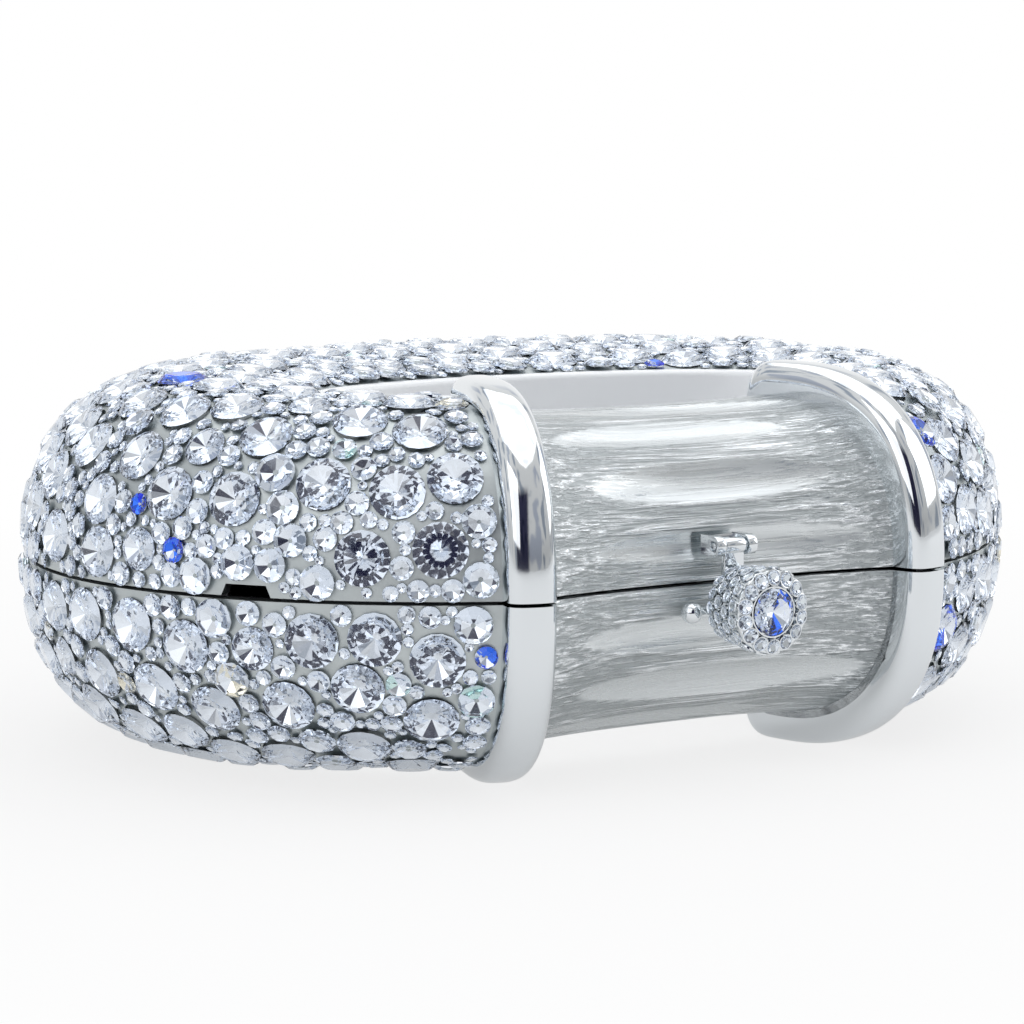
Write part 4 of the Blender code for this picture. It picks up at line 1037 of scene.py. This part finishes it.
def fill_in(half, stones, seed):
    """Sites for the small crystals, with their radii."""
    chance = random.Random(seed)
    sites, points, room = [], [], []
    while len(sites) < candidate_count:
        site = (chance.uniform(-1, 1), chance.uniform(0, 1))
        point = skin_point(*site)
        free = clears_edges(site, point, half)
        if free > least_room:
            sites.append(site)
            points.append(point)
            room.append(free)
    points, room = numpy.array(points), numpy.array(room)
    nearest, second = room.copy(), room.copy()

    def note(point, radius):
        """Brings every candidate's clearance to its two nearest stones up to date."""
        away = numpy.linalg.norm(points - point, axis=1) - radius
        closer = away < nearest
        second[:] = numpy.where(closer, nearest, numpy.minimum(second, away))
        nearest[:] = numpy.where(closer, away, nearest)

    for seat, normal, radius in stones:
        local = seat - handle_axis
        note(numpy.array((local.x, local.y, half * local.z)), radius)
    kept = []
    for least, most, limit in small_sizes:
        for _ in range(limit):
            radius = numpy.minimum(nearest, most)
            spare = numpy.where(nearest > least, nearest + second - 2 * radius, no_place)
            best = int(spare.argmin())
            if spare[best] > 0.9 * no_place:
                break
            kept.append((sites[best], float(radius[best])))
            note(points[best], float(radius[best]))
    return kept


# %% [markdown]
# A stone is never set quite straight, so each one is turned at random about its own axis and leans a little. That
# is what makes neighbours sparkle at different times. A few stones that flash blue have places of their own, so
# each is given to the stone that is nearest to its place. The small stones are set a tenth over their measured
# size, so that they touch and hide the metal between them.

# %% Setting the stones
def set_stones(name, cuts, seats, finishes, body, replaced=(), seed=1, lean=0.05, flashes=()):
    """Copies of cut stones at (point, normal, radius) seats, each turned and leant a little by chance.

    Flashes are (place, cut) pairs: the stone nearest to the place has that cut."""
    chance = random.Random(seed)
    special = {min(range(len(seats)), key=lambda index: (seats[index][0] - place).length): cut
               for place, cut in flashes}
    bm = bmesh.new()
    for index, (point, normal, radius) in enumerate(seats):
        facing = (normal + Vector([chance.uniform(-lean, lean) for _ in range(3)])).normalized()
        spin = Matrix.Rotation(chance.uniform(0, math.tau), 4, "Z")
        turn = facing.to_track_quat("Z", "Y").to_matrix().to_4x4() @ spin
        stone = special.get(index, chance.choice(cuts)).copy()
        stone.transform(Matrix.Translation(point) @ turn @ Matrix.Scale(radius, 4))
        bm.from_mesh(stone)
        bpy.data.meshes.remove(stone)
    return add_piece(name, bm, finishes, body, replaced, 0.0)


# %% The crystals of both halves
raised_share = 1.10
large_over_cover = 0.00025
least_over_cover = 0.0003
tiny_below = 0.0012
# each half's places for a large painted blue flash, and then those for small ones
blue_places = {"upper": ([Vector((-0.0552, 0.0020, 0.0540))],
                         [Vector((-0.0691, -0.0242, 0.0338)), Vector((-0.0709, -0.0173, 0.0395)),
                          Vector((0.0374, -0.0486, 0.0464)), Vector((0.0263, 0.0047, 0.0528))]),
               "lower": ([Vector((0.0396, -0.0515, 0.0181))], [Vector((-0.0375, -0.0534, 0.0208))])}
for word, (half, body) in halves.items():
    flip = Vector((1, 1, half))
    large = [(seat + normal * (cover_out + large_over_cover), normal, radius)
             for seat, normal, radius in large_stones[word]]
    replaced = [f"{word}_crystals"] + ([f"rest_crystal_{index}" for index in range(1, 6)] if half < 0 else [])
    blue_large = [(place, blue_cut) for place in blue_places[word][0]]
    set_stones(f"{word}_large_stones", [full_cut], large, crystal_finishes, body, replaced, 21 + half,
               0.03, blue_large)
    small, tiny = [], []
    for site, radius in fill_in(half, large_stones[word], 5 + half):
        normal = (skin_normal(*site) * flip).normalized()
        over = cover_out + max(small_back * radius, least_over_cover)
        point = to_world(skin_point(*site), half) + normal * over
        (small if radius > tiny_below else tiny).append((point, normal, radius * raised_share))
    print(word, "small crystals:", len(small), "tiny ones:", len(tiny))
    blue_small = [(place, small_blue) for place in blue_places[word][1]]
    set_stones(f"{word}_small_stones", small_cuts, small, crystal_finishes, body, (), 31 + half, 0.05,
               blue_small)
    set_stones(f"{word}_tiny_stones", [tiny_cut], tiny, crystal_finishes, body, (), 41 + half, 0.1)

# %% [markdown]
# ## The clasp
#
# The clasp is a drum that hangs from a short pivot over the parting line. Its side has four rows of small round
# crystals, its face has a ring of fourteen, and one large crystal lies in a seat in the middle. The body is a
# turned shape: half of its outline, spun about its axis. In its outline each point is a place along the axis and
# a distance out from it.


# %% Turned shapes
def turned(line, centre, axis, steps):
    """Spins an outline that starts and ends on the axis."""
    bm = bmesh.new()
    verts = [bm.verts.new(point) for point in line]
    edges = [bm.edges.new(pair) for pair in zip(verts, verts[1:])]
    bmesh.ops.spin(bm, geom=verts + edges, cent=centre, axis=axis, angle=math.tau, steps=steps, use_merge=True)
    bmesh.ops.remove_doubles(bm, verts=bm.verts, dist=1e-7)
    bmesh.ops.recalc_face_normals(bm, faces=bm.faces)
    return bm


# %% The drum
drum_axis = handle_axis + Vector((0, 0, -0.0025))
drum_back = -0.0245
drum_face = -0.0325
drum_line = [(drum_back + 0.0005, 0.0), (drum_back + 0.0005, 0.0022), (drum_back, 0.0023), (drum_back, 0.0045),
             (drum_back - 0.0003, 0.0049), (drum_face, 0.0057), (drum_face - 0.0003, 0.0056),
             (drum_face - 0.0003, 0.0036), (drum_face - 0.0006, 0.0035), (drum_face - 0.0006, 0.0033),
             (drum_face + 0.0006, 0.0032), (drum_face + 0.0006, 0.0)]
drum = turned([drum_axis + Vector((0, along, out)) for along, out in drum_line], drum_axis, (0, 1, 0), 64)
add_piece("drum", drum, [polished_silver], "clasp", ["clasp_drum"], 50.0)

# %% [markdown]
# Stones this small are held by a rim of metal of their own, so their cut has one. The drum widens towards its face,
# so each row stands a little further out than the one behind it, and each other row is turned by half a stone.

# %% The drum's crystals
pave_cut = cut_stone("pave_cut", 8, 0.42, 0.16)
side_rows, side_count, side_radius = 4, 16, 0.00086
side_out, side_widening = 0.0051, 0.0008
ring_count, ring_out, ring_radius = 14, 0.0047, 0.00100
middle_radius = 0.0032
rows = []
for row in range(side_rows):
    along = drum_back + (drum_face - drum_back) * (row + 0.5) / side_rows
    out = side_out + side_widening * (row + 0.5) / side_rows
    for index in range(side_count):
        turn = math.tau * (index + 0.5 * (row % 2)) / side_count
        normal = Vector((math.cos(turn), 0.12, math.sin(turn))).normalized()
        rows.append((drum_axis + Vector((out * math.cos(turn), along, out * math.sin(turn))), normal, side_radius))
set_stones("drum_side_stones", [pave_cut], rows, crystal_finishes, "clasp", ["clasp_side_stones"], 51,
           0.04)
ring = []
for index in range(ring_count):
    turn = math.tau * (index + 0.5) / ring_count
    ring.append((drum_axis + Vector((ring_out * math.cos(turn), drum_face - 0.0006, ring_out * math.sin(turn))),
                 Vector((0.25 * math.cos(turn), -1, 0.25 * math.sin(turn))).normalized(), ring_radius))
set_stones("drum_face_stones", [pave_cut], ring, crystal_finishes, "clasp", ["clasp_ring_stones"], 52,
           0.04)
middle_seat = [(drum_axis + Vector((0, drum_face - 0.0007, 0)), Vector((0, -1, 0)), middle_radius)]
middle_cut = flashing(full_cut, "middle_cut", blue_slot, 0.11, 0.13)
set_stones("drum_middle_stone", [middle_cut], middle_seat, crystal_finishes, "clasp",
           ["clasp_centre_stone"], 187, 0.0)

# %% [markdown]
# The clasp's and the hinge's small metal parts, and the eye behind the slot, have the CAD model's shapes, with
# their sharp edges eased. Bevel rounds each edge that turns by more than 35 degrees, so that it catches a
# highlight.


# %% Eased metal parts
def eased(node, name, body, offset):
    """A copy of a CAD node with its sharp edges rounded over, in polished metal."""
    bm = bmesh.new()
    bm.from_mesh(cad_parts[node].data)
    bmesh.ops.remove_doubles(bm, verts=bm.verts, dist=2e-6)
    bmesh.ops.dissolve_limit(bm, angle_limit=math.radians(1.0), verts=bm.verts, edges=bm.edges)
    sharp = [edge for edge in bm.edges if edge.calc_face_angle(0.0) > math.radians(35)]
    bmesh.ops.bevel(bm, geom=sharp, offset=offset, segments=2, profile=0.5, affect="EDGES", material=-1,
                    clamp_overlap=True)
    bmesh.ops.recalc_face_normals(bm, faces=bm.faces)
    add_piece(name, bm, [polished_silver], body, [node], 40.0)


eased("clasp_arm", "arm", "clasp", 0.00015)
eased("clasp_lugs", "lugs", "lid", 0.00015)
eased("clasp_pin", "clasp_pin_polished", "lid", 0.0001)
eased("lower_hinge_leaf", "lower_leaf", "lower_half", 0.00012)
eased("upper_hinge_leaf", "upper_leaf", "lid", 0.00012)
eased("hinge_pin", "hinge_pin_polished", "lower_half", 0.0001)
eased("chain_eye", "chain_tab", "lower_half", 0.00015)

# %% [markdown]
# Behind the drum a thin bar with a ball at each end is fixed on the handle. It is one turned shape too: a ball up
# to where it meets the bar, and the same again in mirror image.

# %% The catch bar
bar_centre = handle_axis + Vector((0, -0.0217, -0.0037))
ball_radius, bar_radius, ball_span = 0.0015, 0.0008, 0.0112
ball_steps = 12
meets = math.asin(bar_radius / ball_radius)
turns = [math.pi + (meets - math.pi) * step / ball_steps for step in range(ball_steps + 1)]
ball = [(ball_radius * math.cos(turn) - ball_span / 2, ball_radius * math.sin(turn)) for turn in turns]
bar_line = ball + [(-along, out) for along, out in ball[::-1]]
bar = turned([bar_centre + Vector((along, 0, max(out, 0.0))) for along, out in bar_line], bar_centre, (1, 0, 0), 32)
add_piece("catch", bar, [polished_silver], "lower_half", ["catch_bar"], 50.0)
